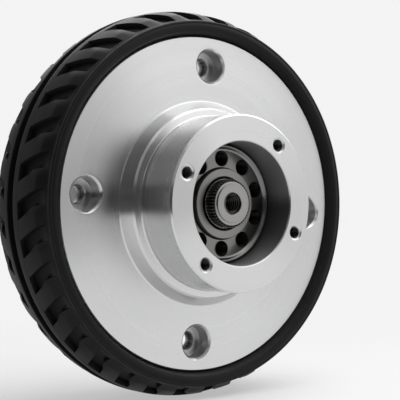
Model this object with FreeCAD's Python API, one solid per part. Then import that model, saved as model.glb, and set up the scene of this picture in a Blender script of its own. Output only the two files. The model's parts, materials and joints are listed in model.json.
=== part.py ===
import FreeCAD, Part
import math
import os

# Robot hub drive wheel. Units are millimetres, +Z is up and the wheel turns about Y.
# The origin lies on the axis, in the face of the fixed ten-hole flange. Front is -Y.

# Tyre
tyre_d = 150.0
tyre_w = 38.0
tyre_t = 11.0
shoulder_drop = 5.6
shoulder_edge = 0.8
tyre_proud = 3.0
side_dish = 0.6
bead_gap = 0.9
bead_depth = 2.2
glue_line = 0.02
centre_groove_w = 3.4
centre_groove_depth = 2.6
groove_draft = 0.4
block_count = 34
block_end_drop = 2.6
band_drop = 5.3
floor_drop = 5.0
slot_start = 5.0
slot_w = 6.5
slot_lean_angle = 29.0
band_w = 1.8
band_bevel = 3.6

# Hub seen from the front
rim_edge = 0.4
rim_wall = 6.0
nose_wall = 10.0
nose_len = 24.0
nose_edge = 0.6
recess = 13.0
collar_step = 3.35
collar_slope = 2.75
collar_len = 5.6
collar_edge = 0.9
web_t = 12.0

# Four stepped holes in the disc, for M6 screws with washers
disc_hole_count = 4
disc_turn_angle = -3.7
disc_head_d = 12.5
disc_head_depth = 6.3
disc_hole_d = 6.6
disc_edge = 1.0

# Four tapped holes in the nose, M5, in two pairs
nose_tap_turn_angle = 14.3
nose_tap_pair_angle = 75.0
nose_tap_d = 4.2
nose_tap_mouth_d = 5.9
nose_tap_depth = 12.0

# Fixed flange and spindle, M6 holes
flange_gap = 0.6
flange_t = 8.0
lip_w = 2.0
lip_h = 1.1
lip_land = 0.4
flange_hole_count = 10
flange_hole_d = 6.0
flange_hole_depth = 7.0
flange_hole_land = 0.75
spindle_d = 40.0
spindle_step = 2.4
hub_seal_y = 2.6
hub_seal_w = 2.4
hub_seal_depth = 1.6

# Deep-groove ball bearings, 40 x 62 x 12
bearing_d = 62.0
bearing_w = 12.0
ball_share = 0.577
ball_pitch_share = 1.4
race_share = 0.3
shim_t = 0.8
cage_t = 2.2
cage_rail = 0.7
pocket_gap = 0.2

# Circlips
clip_t = 1.5
clip_depth = 1.5
clip_ears = 2.2
clip_mouth = 5.0
shaft_clip_t = 1.0
shaft_clip_depth = 1.0
shaft_clip_rise = 1.2
shaft_clip_mouth = 3.0
pin_clip_t = 1.0
pin_clip_depth = 0.6
pin_clip_rise = 1.9
pin_clip_mouth = 2.4

# Planetary gears
module = 1.0
sun_tooth_count = 15
planet_tooth_count = 27
ring_tooth_count = 69
pressure_angle = 20.0
flank_gap = 0.10
gear_w = 8.0
planet_count = 3
pin_d = 8.0
pin_tail = 0.8
bush_wall = 1.5
washer_t = 0.7
washer_rise = 3.5
plate_t = 3.8
plate_margin = 6.0
plate_hub_margin = 1.5
carrier_screw_angle = 40.0

# Case and cover
case_wall = 8.25
ring_wall = 4.25
ring_shelf = 2.3
dowel_d = 4.0
dowel_count = 3
cover_t = 4.8
cover_edge = 0.8
cover_screw_count = 8
oring_w = 1.6
oring_depth = 1.3
screw_d = 4.0
screw_head_d = 7.0
screw_head_h = 4.0
socket_af = 3.0
screw_grip = 8.0

# Input shaft, M8 tap in its end
shaft_d = 20.0
tip_d = 14.3
tip_collar_d = 16.2
tip_collar_len = 0.8
spline_d = 18.2
spline_depth = 0.7
spline_count = 45
base_collar_d = 18.6
tip_reach = 6.9
end_tap_d = 6.8
end_tap_mouth_d = 8.4
end_tap_depth = 16.0
stop_t = 1.4
shaft_bush_wall = 2.0
shaft_bush_len = 7.0

# Steel ring with the input seal
boss_wall = 3.95
boss_h = 2.0
boss_edge = 0.4
boss_skirt = 1.4
boss_groove = 0.5
seal_slot = 0.6
seal_pocket = 4.4
seal_t = 3.2

# Clearances
run_gap = 0.03
side_gap = 0.2
free_gap = 0.5
thread_gap = 0.02

Y_AXIS = FreeCAD.Vector(0, 1, 0)
ORIGIN = FreeCAD.Vector(0, 0, 0)

# Stations along the axis
nose_y = -recess
disc_y = nose_y + nose_len
collar_y = disc_y - collar_len
tyre_y0 = disc_y - tyre_proud
tyre_y1 = tyre_y0 + tyre_w
tyre_mid = tyre_y0 + tyre_w / 2
web_y = disc_y + web_t
bearing1_y = flange_t
bearing2_y = bearing1_y + bearing_w + shim_t
clip_y = bearing2_y + bearing_w
chamber_y = clip_y + clip_t + 0.7
plate_y = chamber_y + 0.6
plate_end = plate_y + plate_t
gear_y = plate_end + washer_t + 2 * side_gap
gear_end = gear_y + gear_w
ring_y = gear_y - free_gap
ring_end = gear_end + free_gap
pin_clip_y = gear_end + washer_t + 2 * side_gap
pin_end = pin_clip_y + pin_clip_t + pin_tail
case_y = pin_end + pin_tail
cover_y = case_y + cover_t
shaft_clip_y = seal_pocket
bush1_y = shaft_clip_y + shaft_clip_t + pin_tail
bush2_y = clip_y - 1.8 - shaft_bush_len

# Radii that several pieces share
rim_r = tyre_d / 2 - tyre_t
seat_r = bearing_d / 2
spindle_r = spindle_d / 2
shaft_r = shaft_d / 2
bush_r = shaft_r + shaft_bush_wall
base_r = base_collar_d / 2
boss_r = base_r + boss_wall
boss_bore_r = base_r + seal_slot
seal_r = boss_r - boss_skirt
flange_circle_r = boss_r + flange_hole_land + flange_hole_d / 2
flange_r = max(flange_circle_r + flange_hole_d / 2 + lip_land + lip_w, spindle_r + spindle_step)
bore_r = flange_r + flange_gap
nose_r = bore_r + nose_wall
nose_tap_r = (bore_r + nose_r) / 2
collar_r = nose_r + collar_step
collar_base_r = collar_r + collar_slope
pitch_r = (seat_r + spindle_r) / 2
ball_r = ball_share * (seat_r - spindle_r) / 2
race_rise = race_share * 2 * ball_r
ball_count = int(math.pi * pitch_r / (ball_pitch_share * ball_r))
ring_r = module * ring_tooth_count / 2
sun_r = module * sun_tooth_count / 2
planet_r = module * planet_tooth_count / 2
arm_r = sun_r + planet_r
carrier_screw_r = (bush_r + spindle_r) / 2
chamber_r = ring_r + module + ring_wall
clear_r = chamber_r - ring_shelf
case_r = chamber_r + case_wall
cover_screw_r = chamber_r + case_wall / 2
rim_in_r = rim_r - rim_wall
disc_hole_r = (rim_in_r + case_r) / 2
dowel_r = dowel_d / 2
pin_r = pin_d / 2


def v(x, y, z):
    return FreeCAD.Vector(x, y, z)


def revolve(edges):
    """Turn a closed profile of edges, drawn in the X-Y plane, about the Y axis."""
    face = Part.Face(Part.Wire(edges))
    return face.revolve(ORIGIN, Y_AXIS, 360)


def chain(points):
    """Straight edges through the (radius, y) corners of an open outline."""
    corners = [v(r, y, 0) for r, y in points]
    return [Part.makeLine(a, b) for a, b in zip(corners, corners[1:])]


def turned(points):
    """Turn a closed outline of (radius, y) corners about the Y axis."""
    return revolve(chain(points + points[:1]))


def rod(r, y0, y1, x=0.0, z=0.0):
    return Part.makeCylinder(r, y1 - y0, v(x, y0, z), Y_AXIS)


def taper(r0, r1, y0, y1, x=0.0, z=0.0):
    return Part.makeCone(r0, r1, y1 - y0, v(x, y0, z), Y_AXIS)


def collar(r_out, r_in, y0, y1, x=0.0, z=0.0):
    return rod(r_out, y0, y1, x, z).cut(rod(r_in, y0, y1, x, z))


def snap_ring(r_out, r_in, y0, thick, mouth, x=0.0, z=0.0):
    """Open ring with its mouth toward +Z."""
    gap = Part.makeBox(mouth, thick, r_out, v(x - mouth / 2, y0, z))
    return collar(r_out, r_in, y0, y0 + thick, x, z).cut(gap)


def polar(r, degrees):
    a = math.radians(degrees)
    return r * math.cos(a), r * math.sin(a)


def places(r, count, first):
    return [polar(r, first + 360.0 * i / count) for i in range(count)]


def spin(shape, degrees):
    """Return a copy turned counter-clockwise as seen from the front."""
    turned_copy = shape.copy()
    turned_copy.rotate(ORIGIN, Y_AXIS, -degrees)
    return turned_copy


def ring_of(shape, count, first=0.0):
    return [spin(shape, first + 360.0 * i / count) for i in range(count)]


def save(name, shape):
    shape.exportStep("parts/" + name + ".step")


def cap_screw(y_head, length, x, z):
    """Socket cap screw with its head toward +Y; y_head is the face under the head."""
    head = rod(screw_head_d / 2, y_head, y_head + screw_head_h, x, z)
    shank = rod(screw_d / 2, y_head - length, y_head, x, z)
    hexagon = []
    for px, pz in places(socket_af / math.sqrt(3), 6, 0) + [polar(socket_af / math.sqrt(3), 0)]:
        hexagon.append(v(x + px, y_head + screw_head_h, z + pz))
    socket = Part.Face(Part.makePolygon(hexagon)).extrude(v(0, -0.55 * screw_head_h, 0))
    return head.fuse(shank).removeSplitter().cut(socket)


# Gear outline

def involute(angle):
    return math.tan(angle) - angle


def gear_face(teeth, root_r, tip_r, thinning, first):
    """Face of a gear whose flanks are arcs through three points of the involute."""
    gear_r = module * teeth / 2
    alpha = math.radians(pressure_angle)
    involute_r = gear_r * math.cos(alpha)
    half = (math.pi * module / 2 - thinning) / (2 * gear_r)

    def half_at(r):
        return half + involute(alpha) - involute(math.acos(min(1.0, involute_r / r)))

    low_r = max(root_r, involute_r + 0.002)
    mid_r = (low_r + tip_r) / 2

    def point(r, angle):
        return v(r * math.cos(angle), 0, r * math.sin(angle))

    edges = []
    corners = []
    for i in range(teeth):
        c = math.radians(first) + 2 * math.pi * i / teeth
        up = [point(r, c - half_at(r)) for r in (low_r, mid_r, tip_r)]
        down = [point(r, c + half_at(r)) for r in (tip_r, mid_r, low_r)]
        foot_up = up[0]
        foot_down = down[2]
        if low_r > root_r + 0.01:
            foot_up = point(root_r, c - half_at(low_r))
            foot_down = point(root_r, c + half_at(low_r))
            edges.append(Part.makeLine(foot_up, up[0]))
            edges.append(Part.makeLine(down[2], foot_down))
        edges.append(Part.Arc(up[0], up[1], up[2]).toShape())
        edges.append(Part.makeLine(up[2], down[0]))
        edges.append(Part.Arc(down[0], down[1], down[2]).toShape())
        corners.append((foot_up, foot_down))
    for i in range(teeth):
        edges.append(Part.makeLine(corners[i][1], corners[(i + 1) % teeth][0]))
    return Part.Face(Part.Wire(Part.__sortEdges__(edges)))


def gear(teeth, root_r, tip_r, thinning, first, y0, y1):
    face = gear_face(teeth, root_r, tip_r, thinning, first)
    face.translate(v(0, y0, 0))
    return face.extrude(v(0, y1 - y0, 0))


# Ball bearing

def ball_bearing(y0):
    """Return the outer ring, inner ring, balls and cage of a deep-groove bearing."""
    mid = y0 + bearing_w / 2
    y1 = y0 + bearing_w
    track = Part.makeTorus(pitch_r, ball_r + run_gap, v(0, mid, 0), Y_AXIS)
    outer = collar(seat_r, pitch_r + race_rise, y0, y1).cut(track)
    inner = collar(pitch_r - race_rise, spindle_r, y0, y1).cut(track)
    centre = v(pitch_r, mid, 0)
    balls = ring_of(Part.makeSphere(ball_r, centre, Y_AXIS), ball_count)
    pocket_r = ball_r + pocket_gap
    pockets = ring_of(Part.makeSphere(pocket_r, centre, Y_AXIS), ball_count)
    half = pocket_r + cage_rail
    cage = collar(pitch_r + cage_t / 2, pitch_r - cage_t / 2, mid - half, mid + half)
    return outer, inner, Part.makeCompound(balls), cage.cut(pockets)


# Tyre with its tread

def tread_slot(side):
    """Slanted slot cutter at the top of the tyre, from a wall beside the centre rib to the shoulder band."""
    stop = tyre_w / 2
    lean = (stop - slot_start) * math.tan(math.radians(slot_lean_angle))
    half = slot_w / 2
    floor_r = tyre_d / 2 - floor_drop
    band_r = tyre_d / 2 - band_drop
    corners = []
    for across, s in ((half, slot_start), (half + lean, stop), (lean - half, stop), (-half, slot_start),
                      (half, slot_start)):
        corners.append(v(across, tyre_mid + side * s, band_r - shoulder_drop))
    prism = Part.Face(Part.makePolygon(corners)).extrude(v(0, 0, 2 * shoulder_drop + band_drop))
    wall_y = tyre_mid + side * slot_start
    band_y = tyre_mid + side * (stop - band_w)
    end_y = tyre_mid + side * (stop + 1)
    floor = turned([(0, tyre_mid), (floor_r, tyre_mid), (floor_r, wall_y), (band_r, band_y), (band_r, end_y), (0, end_y)])
    return prism.cut(floor)


def make_tyre():
    top = tyre_d / 2
    edge = top - shoulder_drop
    y0 = tyre_y0 + shoulder_edge
    y1 = tyre_y1 - shoulder_edge
    band_r = top - band_drop
    block_r = top - block_end_drop
    block_y0 = tyre_y0 + band_w + band_bevel
    block_y1 = tyre_y1 - band_w - band_bevel
    crown = Part.Arc(v(block_r, block_y0, 0), v(top, tyre_mid, 0), v(block_r, block_y1, 0)).toShape()
    in_r = rim_r + glue_line
    bead_r = rim_r + bead_gap
    foot_r = bead_r + bead_gap
    rest = [(block_r, block_y1), (band_r, tyre_y1 - band_w), (edge, y1), (edge - shoulder_edge, tyre_y1),
            (foot_r, tyre_y1 - side_dish), (bead_r, tyre_y1 - bead_depth),
            (in_r, tyre_y1 - bead_depth - side_gap), (in_r, disc_y + rim_edge + side_gap),
            (bead_r, disc_y - side_gap), (foot_r, tyre_y0 + side_dish), (edge - shoulder_edge, tyre_y0), (edge, y0),
            (band_r, tyre_y0 + band_w), (block_r, block_y0)]
    body = revolve([crown] + chain(rest))
    half = centre_groove_w / 2
    depth = top - centre_groove_depth
    groove = turned([(depth, tyre_mid - half + groove_draft), (top + 1, tyre_mid - half),
                     (top + 1, tyre_mid + half), (depth, tyre_mid + half - groove_draft)])
    cutters = ring_of(tread_slot(-1), block_count)
    cutters += ring_of(tread_slot(1), block_count, 180.0 / block_count)
    return body.cut([groove] + cutters)


# Hub, turned from one billet

def make_hub():
    rim_y = tyre_y1 - tyre_proud
    hub = turned([(bore_r + nose_edge, nose_y), (nose_r - nose_edge, nose_y), (nose_r, nose_y + nose_edge),
                  (nose_r, collar_y), (collar_r - collar_edge, collar_y), (collar_r, collar_y + collar_edge),
                  (collar_base_r, disc_y), (rim_r - rim_edge, disc_y), (rim_r, disc_y + rim_edge),
                  (rim_r, rim_y), (rim_in_r, rim_y), (rim_in_r, web_y), (case_r, web_y),
                  (case_r, case_y), (chamber_r, case_y), (chamber_r, ring_y), (clear_r, ring_y),
                  (clear_r, chamber_y), (seat_r, chamber_y), (seat_r, clip_y + clip_t),
                  (seat_r + clip_depth, clip_y + clip_t), (seat_r + clip_depth, clip_y), (seat_r, clip_y),
                  (seat_r, bearing1_y), (bore_r, bearing1_y), (bore_r, nose_y + nose_edge)])
    tools = []
    head_r = disc_head_d / 2
    for x, z in places(disc_hole_r, disc_hole_count, 90 + disc_turn_angle):
        tools.append(rod(head_r, disc_y - 1, disc_y + disc_head_depth, x, z))
        tools.append(rod(disc_hole_d / 2, disc_y, case_y + 1, x, z))
        tools.append(taper(head_r + disc_edge, head_r, disc_y, disc_y + disc_edge, x, z))
    mouth = (nose_tap_mouth_d - nose_tap_d) / 2
    for x, z in nose_taps():
        tools.append(rod(nose_tap_d / 2, nose_y, nose_y + nose_tap_depth, x, z))
        tools.append(taper(nose_tap_mouth_d / 2, nose_tap_d / 2, nose_y, nose_y + mouth, x, z))
    for x, z in cover_holes():
        tools.append(rod(screw_d / 2 + thread_gap, case_y - screw_grip - 1, case_y, x, z))
    for x, z in dowels():
        tools.append(rod(dowel_r, ring_y - 1, ring_end - 1, x, z))
    return hub.cut(tools)


def dowels():
    return places(chamber_r, dowel_count, 30)


def cover_holes():
    return places(cover_screw_r, cover_screw_count, 180.0 / cover_screw_count)


def nose_taps():
    half = nose_tap_pair_angle / 2
    return [polar(nose_tap_r, nose_tap_turn_angle + a) for a in (half, 180 - half, 180 + half, -half)]


# Spindle, the fixed piece that bolts to the robot

def make_spindle():
    lip_r = flange_r - lip_w
    groove_r = flange_r - hub_seal_depth
    seal_end = hub_seal_y + hub_seal_w
    edges = [Part.Arc(v(lip_r, 0, 0), v(flange_r - lip_w / 2, -lip_h, 0), v(flange_r, 0, 0)).toShape()]
    edges += chain([(flange_r, 0), (flange_r, hub_seal_y), (groove_r, hub_seal_y), (groove_r, seal_end),
                    (flange_r, seal_end), (flange_r, flange_t), (spindle_r, flange_t), (spindle_r, clip_y),
                    (bush_r, clip_y), (bush_r, seal_pocket), (boss_r, seal_pocket), (boss_r, boss_groove),
                    (boss_r + boss_groove, 0), (lip_r, 0)])
    body = revolve(edges)
    tools = []
    for x, z in places(flange_circle_r, flange_hole_count, 90):
        tools.append(rod(flange_hole_d / 2, -1, flange_hole_depth, x, z))
    for x, z in carrier_holes():
        tools.append(rod(screw_d / 2 + thread_gap, clip_y - screw_grip - 1, clip_y, x, z))
    return body.cut(tools)


def carrier_holes():
    a = carrier_screw_angle
    return places(carrier_screw_r, planet_count, 90 - a) + places(carrier_screw_r, planet_count, 90 + a)


def pin_places():
    return places(arm_r, planet_count, 90)


# Planet carrier and what sits on it

def make_carrier():
    hub_r = min(arm_r + pin_r + plate_hub_margin, seat_r - clip_ears - free_gap)
    rim = arm_r + pin_r + plate_margin
    body = turned([(sun_r + free_gap, clip_y), (hub_r, clip_y), (hub_r, plate_y), (rim, plate_y),
                   (rim, plate_end), (sun_r + free_gap, plate_end)])
    tools = []
    head_y = plate_end - screw_head_h
    for x, z in carrier_holes():
        tools.append(rod(screw_d / 2 + side_gap, clip_y, head_y, x, z))
        tools.append(rod(screw_head_d / 2 + side_gap, head_y, plate_end, x, z))
    for x, z in pin_places():
        tools.append(rod(pin_r, clip_y + free_gap, plate_end, x, z))
    return body.cut(tools)


def make_pins():
    pins = []
    for x, z in pin_places():
        pin = rod(pin_r, clip_y + free_gap, pin_end, x, z)
        groove = collar(pin_r + 1, pin_r - pin_clip_depth, pin_clip_y, pin_clip_y + pin_clip_t, x, z)
        pins.append(pin.cut(groove))
    return Part.makeCompound(pins)


def make_washers():
    washers = []
    for x, z in pin_places():
        for y0 in (plate_end, gear_end + side_gap):
            y1 = y0 + washer_t + side_gap
            washers.append(collar(pin_r + washer_rise, pin_r + run_gap, y0, y1, x, z))
    return Part.makeCompound(washers)


def make_pin_clips():
    clips = []
    for x, z in pin_places():
        clips.append(snap_ring(pin_r + pin_clip_rise, pin_r - pin_clip_depth, pin_clip_y, pin_clip_t,
                               pin_clip_mouth, x, z))
    return Part.makeCompound(clips)


def make_planet(i):
    angle = 90 + 360.0 * i / planet_count
    x, z = polar(arm_r, angle)
    first = angle + 180.0 + 180.0 / planet_tooth_count
    wheel = gear(planet_tooth_count, planet_r - 1.25 * module, planet_r + module, flank_gap, first, gear_y, gear_end)
    wheel.translate(v(x, 0, z))
    bush = collar(pin_r + bush_wall, pin_r + run_gap, gear_y, gear_end, x, z)
    return wheel.cut(rod(pin_r + bush_wall, gear_y, gear_end, x, z)), bush


def make_ring_gear():
    blank = rod(chamber_r, ring_y, ring_end)
    space = gear(ring_tooth_count, ring_r - module, ring_r + 1.25 * module, -flank_gap, 90.0, ring_y, ring_end)
    slots = [rod(dowel_r, ring_y, ring_end - 1, x, z) for x, z in dowels()]
    return blank.cut([space] + slots)


# Input shaft with the sun gear cut on its inner end

def make_shaft():
    tip_y = -tip_reach
    collar_y0 = tip_y + 0.3 * (tip_collar_d - tip_d)
    spline_y0 = collar_y0 + tip_collar_len
    spline_y1 = -boss_h - side_gap
    core_r = spline_d / 2 - spline_depth
    groove_end = shaft_clip_y + shaft_clip_t + side_gap
    stop_y = bush2_y + shaft_bush_len + side_gap
    root = sun_r - 1.25 * module
    shaft = turned([(0, tip_y), (tip_d / 2, tip_y), (tip_d / 2, collar_y0), (tip_collar_d / 2, collar_y0),
                    (tip_collar_d / 2, spline_y0), (core_r, spline_y0), (core_r, spline_y1), (base_r, spline_y1), (base_r, shaft_clip_y),
                    (shaft_r - shaft_clip_depth, shaft_clip_y), (shaft_r - shaft_clip_depth, groove_end),
                    (shaft_r, groove_end), (shaft_r, stop_y), (bush_r - free_gap, stop_y),
                    (bush_r - free_gap, stop_y + stop_t), (root, stop_y + stop_t), (root, gear_end), (0, gear_end)])
    points = []
    for i in range(2 * spline_count + 1):
        r = core_r if i % 2 else spline_d / 2
        x, z = polar(r, 90 + 180.0 * i / spline_count)
        points.append(v(x, spline_y0, z))
    teeth = Part.Face(Part.makePolygon(points)).extrude(v(0, spline_y1 - spline_y0, 0))
    sun = gear(sun_tooth_count, root, sun_r + module, flank_gap, 90.0, gear_y, gear_end)
    shaft = shaft.fuse([teeth, sun])
    mouth = (end_tap_mouth_d - end_tap_d) / 2
    tap = rod(end_tap_d / 2, tip_y, tip_y + end_tap_depth)
    return shaft.cut([tap, taper(end_tap_mouth_d / 2, end_tap_d / 2, tip_y, tip_y + mouth)])


# Seals and the ring that holds the input seal

def make_seal_carrier():
    return turned([(boss_bore_r, -boss_h), (boss_r - boss_edge, -boss_h), (boss_r, -boss_h + boss_edge),
                   (boss_r, seal_pocket), (seal_r, seal_pocket), (seal_r, seal_slot), (boss_bore_r, seal_slot)])


def make_input_seal():
    lip_r = base_r + run_gap
    seal_end = seal_slot + seal_t
    return turned([(lip_r, seal_slot), (seal_r, seal_slot), (seal_r, seal_end),
                   ((lip_r + seal_r) / 2, seal_end), (lip_r, seal_slot + seal_t / 3)])


def make_hub_seal():
    y0 = hub_seal_y + side_gap / 2
    return collar(bore_r - side_gap / 2, flange_r - hub_seal_depth, y0, y0 + hub_seal_w - side_gap)


# Rear cover

def make_cover():
    spigot_r = chamber_r - run_gap
    groove_r = spigot_r - oring_depth
    y0 = ring_end + thread_gap
    y1 = y0 + washer_t
    y2 = y1 + oring_w
    body = turned([(0, case_y), (clear_r, case_y), (clear_r, y0), (spigot_r, y0), (spigot_r, y1), (groove_r, y1),
                   (groove_r, y2), (spigot_r, y2), (spigot_r, case_y), (case_r, case_y),
                   (case_r, cover_y - cover_edge), (case_r - cover_edge, cover_y), (0, cover_y)])
    holes = [rod(screw_d / 2 + side_gap, case_y - 1, cover_y + 1, x, z) for x, z in cover_holes()]
    oring = collar(spigot_r - thread_gap, groove_r, y1 + thread_gap, y2 - thread_gap)
    return body.cut(holes), oring


def main():
    os.makedirs("parts", exist_ok=True)
    save("tyre", make_tyre())
    save("wheel_hub", make_hub())

    for name, y0 in (("front", bearing1_y), ("rear", bearing2_y)):
        outer, inner, balls, cage = ball_bearing(y0)
        save(name + "_outer_ring", outer)
        save(name + "_inner_ring", inner)
        save(name + "_balls", balls)
        save(name + "_cage", cage)
    save("bearing_shim", collar(pitch_r - race_rise, spindle_r, bearing1_y + bearing_w, bearing2_y))
    clip_r = seat_r + clip_depth - side_gap / 2
    save("hub_circlip", snap_ring(clip_r, seat_r - clip_ears, clip_y, clip_t - side_gap / 2, clip_mouth))

    save("ring_gear", make_ring_gear())
    pins = [rod(dowel_r, ring_y - 1, ring_end - 1, x, z) for x, z in dowels()]
    save("ring_dowels", Part.makeCompound(pins))
    cover, oring = make_cover()
    save("rear_cover", cover)
    save("cover_oring", oring)
    screws = [cap_screw(cover_y, cover_t + screw_grip, x, z) for x, z in cover_holes()]
    save("cover_screws", Part.makeCompound(screws))

    save("spindle", make_spindle())
    save("hub_seal", make_hub_seal())
    save("seal_carrier", make_seal_carrier())
    save("input_seal", make_input_seal())
    save("front_bush", collar(bush_r, shaft_r + run_gap, bush1_y, bush1_y + shaft_bush_len))
    save("rear_bush", collar(bush_r, shaft_r + run_gap, bush2_y, bush2_y + shaft_bush_len))
    save("planet_carrier", make_carrier())
    head_y = plate_end - screw_head_h
    screws = [cap_screw(head_y, head_y - clip_y + screw_grip, x, z) for x, z in carrier_holes()]
    save("carrier_screws", Part.makeCompound(screws))
    save("planet_pins", make_pins())
    save("thrust_washers", make_washers())
    save("pin_circlips", make_pin_clips())

    for i in range(planet_count):
        wheel, bush = make_planet(i)
        save("planet_gear_" + str(i + 1), wheel)
        save("planet_bush_" + str(i + 1), bush)

    save("input_shaft", make_shaft())
    clip = snap_ring(shaft_r + shaft_clip_rise, shaft_r - shaft_clip_depth, shaft_clip_y + side_gap / 2,
                     shaft_clip_t, shaft_clip_mouth)
    save("shaft_circlip", clip)


main()
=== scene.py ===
import json
import math
from types import SimpleNamespace

import bmesh
import bpy
import numpy as np
from bpy.props import FloatProperty, FloatVectorProperty, IntProperty, PointerProperty
from mathutils import Matrix, Vector


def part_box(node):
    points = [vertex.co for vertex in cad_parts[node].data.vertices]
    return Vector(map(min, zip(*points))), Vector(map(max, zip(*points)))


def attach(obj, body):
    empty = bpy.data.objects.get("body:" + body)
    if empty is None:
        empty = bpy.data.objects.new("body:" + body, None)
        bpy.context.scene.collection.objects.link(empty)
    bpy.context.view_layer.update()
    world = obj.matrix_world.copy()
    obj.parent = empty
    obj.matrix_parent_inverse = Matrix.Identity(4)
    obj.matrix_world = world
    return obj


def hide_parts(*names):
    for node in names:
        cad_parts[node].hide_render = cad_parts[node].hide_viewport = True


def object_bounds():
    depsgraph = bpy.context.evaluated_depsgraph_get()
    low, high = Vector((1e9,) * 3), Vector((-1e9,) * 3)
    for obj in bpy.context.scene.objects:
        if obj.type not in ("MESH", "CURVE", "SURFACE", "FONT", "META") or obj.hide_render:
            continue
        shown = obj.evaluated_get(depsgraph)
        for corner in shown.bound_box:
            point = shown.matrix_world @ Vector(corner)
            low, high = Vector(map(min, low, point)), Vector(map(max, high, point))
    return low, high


bl_info = {
    "name": "Robot hub drive wheel",
    "version": (1, 0, 0),
    "blender": (4, 5, 0),
    "location": "3D View > Sidebar > Drive wheel",
    "description": "Builds the visible pieces of a hub drive wheel around its packed CAD frame",
    "category": "Add Mesh",
}

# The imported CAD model. Its boxes give the sizes that the new pieces start from.
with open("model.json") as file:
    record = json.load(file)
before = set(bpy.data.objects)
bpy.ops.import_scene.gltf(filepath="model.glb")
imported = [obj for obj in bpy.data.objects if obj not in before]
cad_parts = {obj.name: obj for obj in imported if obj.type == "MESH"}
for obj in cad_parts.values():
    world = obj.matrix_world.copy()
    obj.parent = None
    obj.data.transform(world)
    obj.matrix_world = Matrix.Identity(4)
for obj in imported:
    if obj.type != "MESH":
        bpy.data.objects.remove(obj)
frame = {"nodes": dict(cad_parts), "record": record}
CAD_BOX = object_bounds()
MM = 0.001
WELD = 0.003 * MM
TAU = 2.0 * math.pi
UP = 0.5 * math.pi


def box_mm(node):
    """Lowest and highest corner of a CAD node in millimetres."""
    low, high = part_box(node)
    return np.array(low) / MM, np.array(high) / MM


TYRE_LOW, TYRE_HIGH = box_mm("tyre")
HUB_LOW, HUB_HIGH = box_mm("wheel_hub")
COVER_HIGH = box_mm("rear_cover")[1]
SCREW_HIGH = box_mm("cover_screws")[1]
SPINDLE_HIGH = box_mm("spindle")[1]
BOSS_LOW, BOSS_HIGH = box_mm("seal_carrier")
SHAFT_LOW, SHAFT_HIGH = box_mm("input_shaft")


# Settings

def length(name, text, millimetres):
    return FloatProperty(name=name, description=text, default=float(millimetres) * MM, unit="LENGTH",
                         precision=5)


def angle(name, text, degrees):
    return FloatProperty(name=name, description=text, default=math.radians(degrees), unit="ROTATION")


def count(name, text, number):
    return IntProperty(name=name, description=text, default=number, min=1)


def colour(name, text, value):
    return FloatVectorProperty(name=name, description=text, default=value, size=3, min=0.0, max=1.0,
                               subtype="COLOR")


def in_mm(group):
    """A settings group as plain numbers: lengths in millimetres, angles in radians, the rest as they are."""
    values = {}
    for prop in group.bl_rna.properties:
        if prop.identifier in ("rna_type", "name"):
            continue
        value = getattr(group, prop.identifier)
        if getattr(prop, "unit", "NONE") == "LENGTH":
            value = value / MM
        values[prop.identifier] = value
    return SimpleNamespace(**values)


class TyreSettings(bpy.types.PropertyGroup):
    radius: length("Tread radius", "Radius of the ribs beside the centre groove", 75.0)
    front: length("Front", "Where the front side of the tyre lies along the axle", TYRE_LOW[1])
    back: length("Back", "Where the back side of the tyre lies along the axle", TYRE_HIGH[1])
    bore: length("Bore", "Radius of the rim that the tyre sits on", 64.02)
    groove_width: length("Centre groove width", "Width of the groove round the middle", 4.0)
    groove_depth: length("Centre groove depth", "Depth of the groove round the middle", 2.6)
    slot_count: count("Slots", "Slanted slots on each side of the tread", 34)
    tread_turn: angle("Tread turn", "How far the tread is turned on the rim", -3.2)
    slot_width: length("Slot width", "Width of a slot along the tread", 6.5)
    slot_start: length("Slot start", "Distance of a slot's inner wall from the middle", 5.0)
    slot_lean: angle("Slot lean", "Angle between a slot and the axle", 29.0)
    slot_depth: length("Slot depth", "Depth of a slot below the crown at its inner wall", 2.25)
    block_end: length("Block end", "Distance of the end of a block from the middle", 13.6)
    block_drop: length("Block drop", "How far the crown has dropped at a block's end", 2.6)
    band_start: length("Band start", "Distance of the shoulder band from the middle", 17.2)
    band_drop: length("Band drop", "How far the shoulder band lies below the crown", 5.3)
    corner: length("Block corner", "How far a block's leading corner is rounded off", 2.4)


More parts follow.
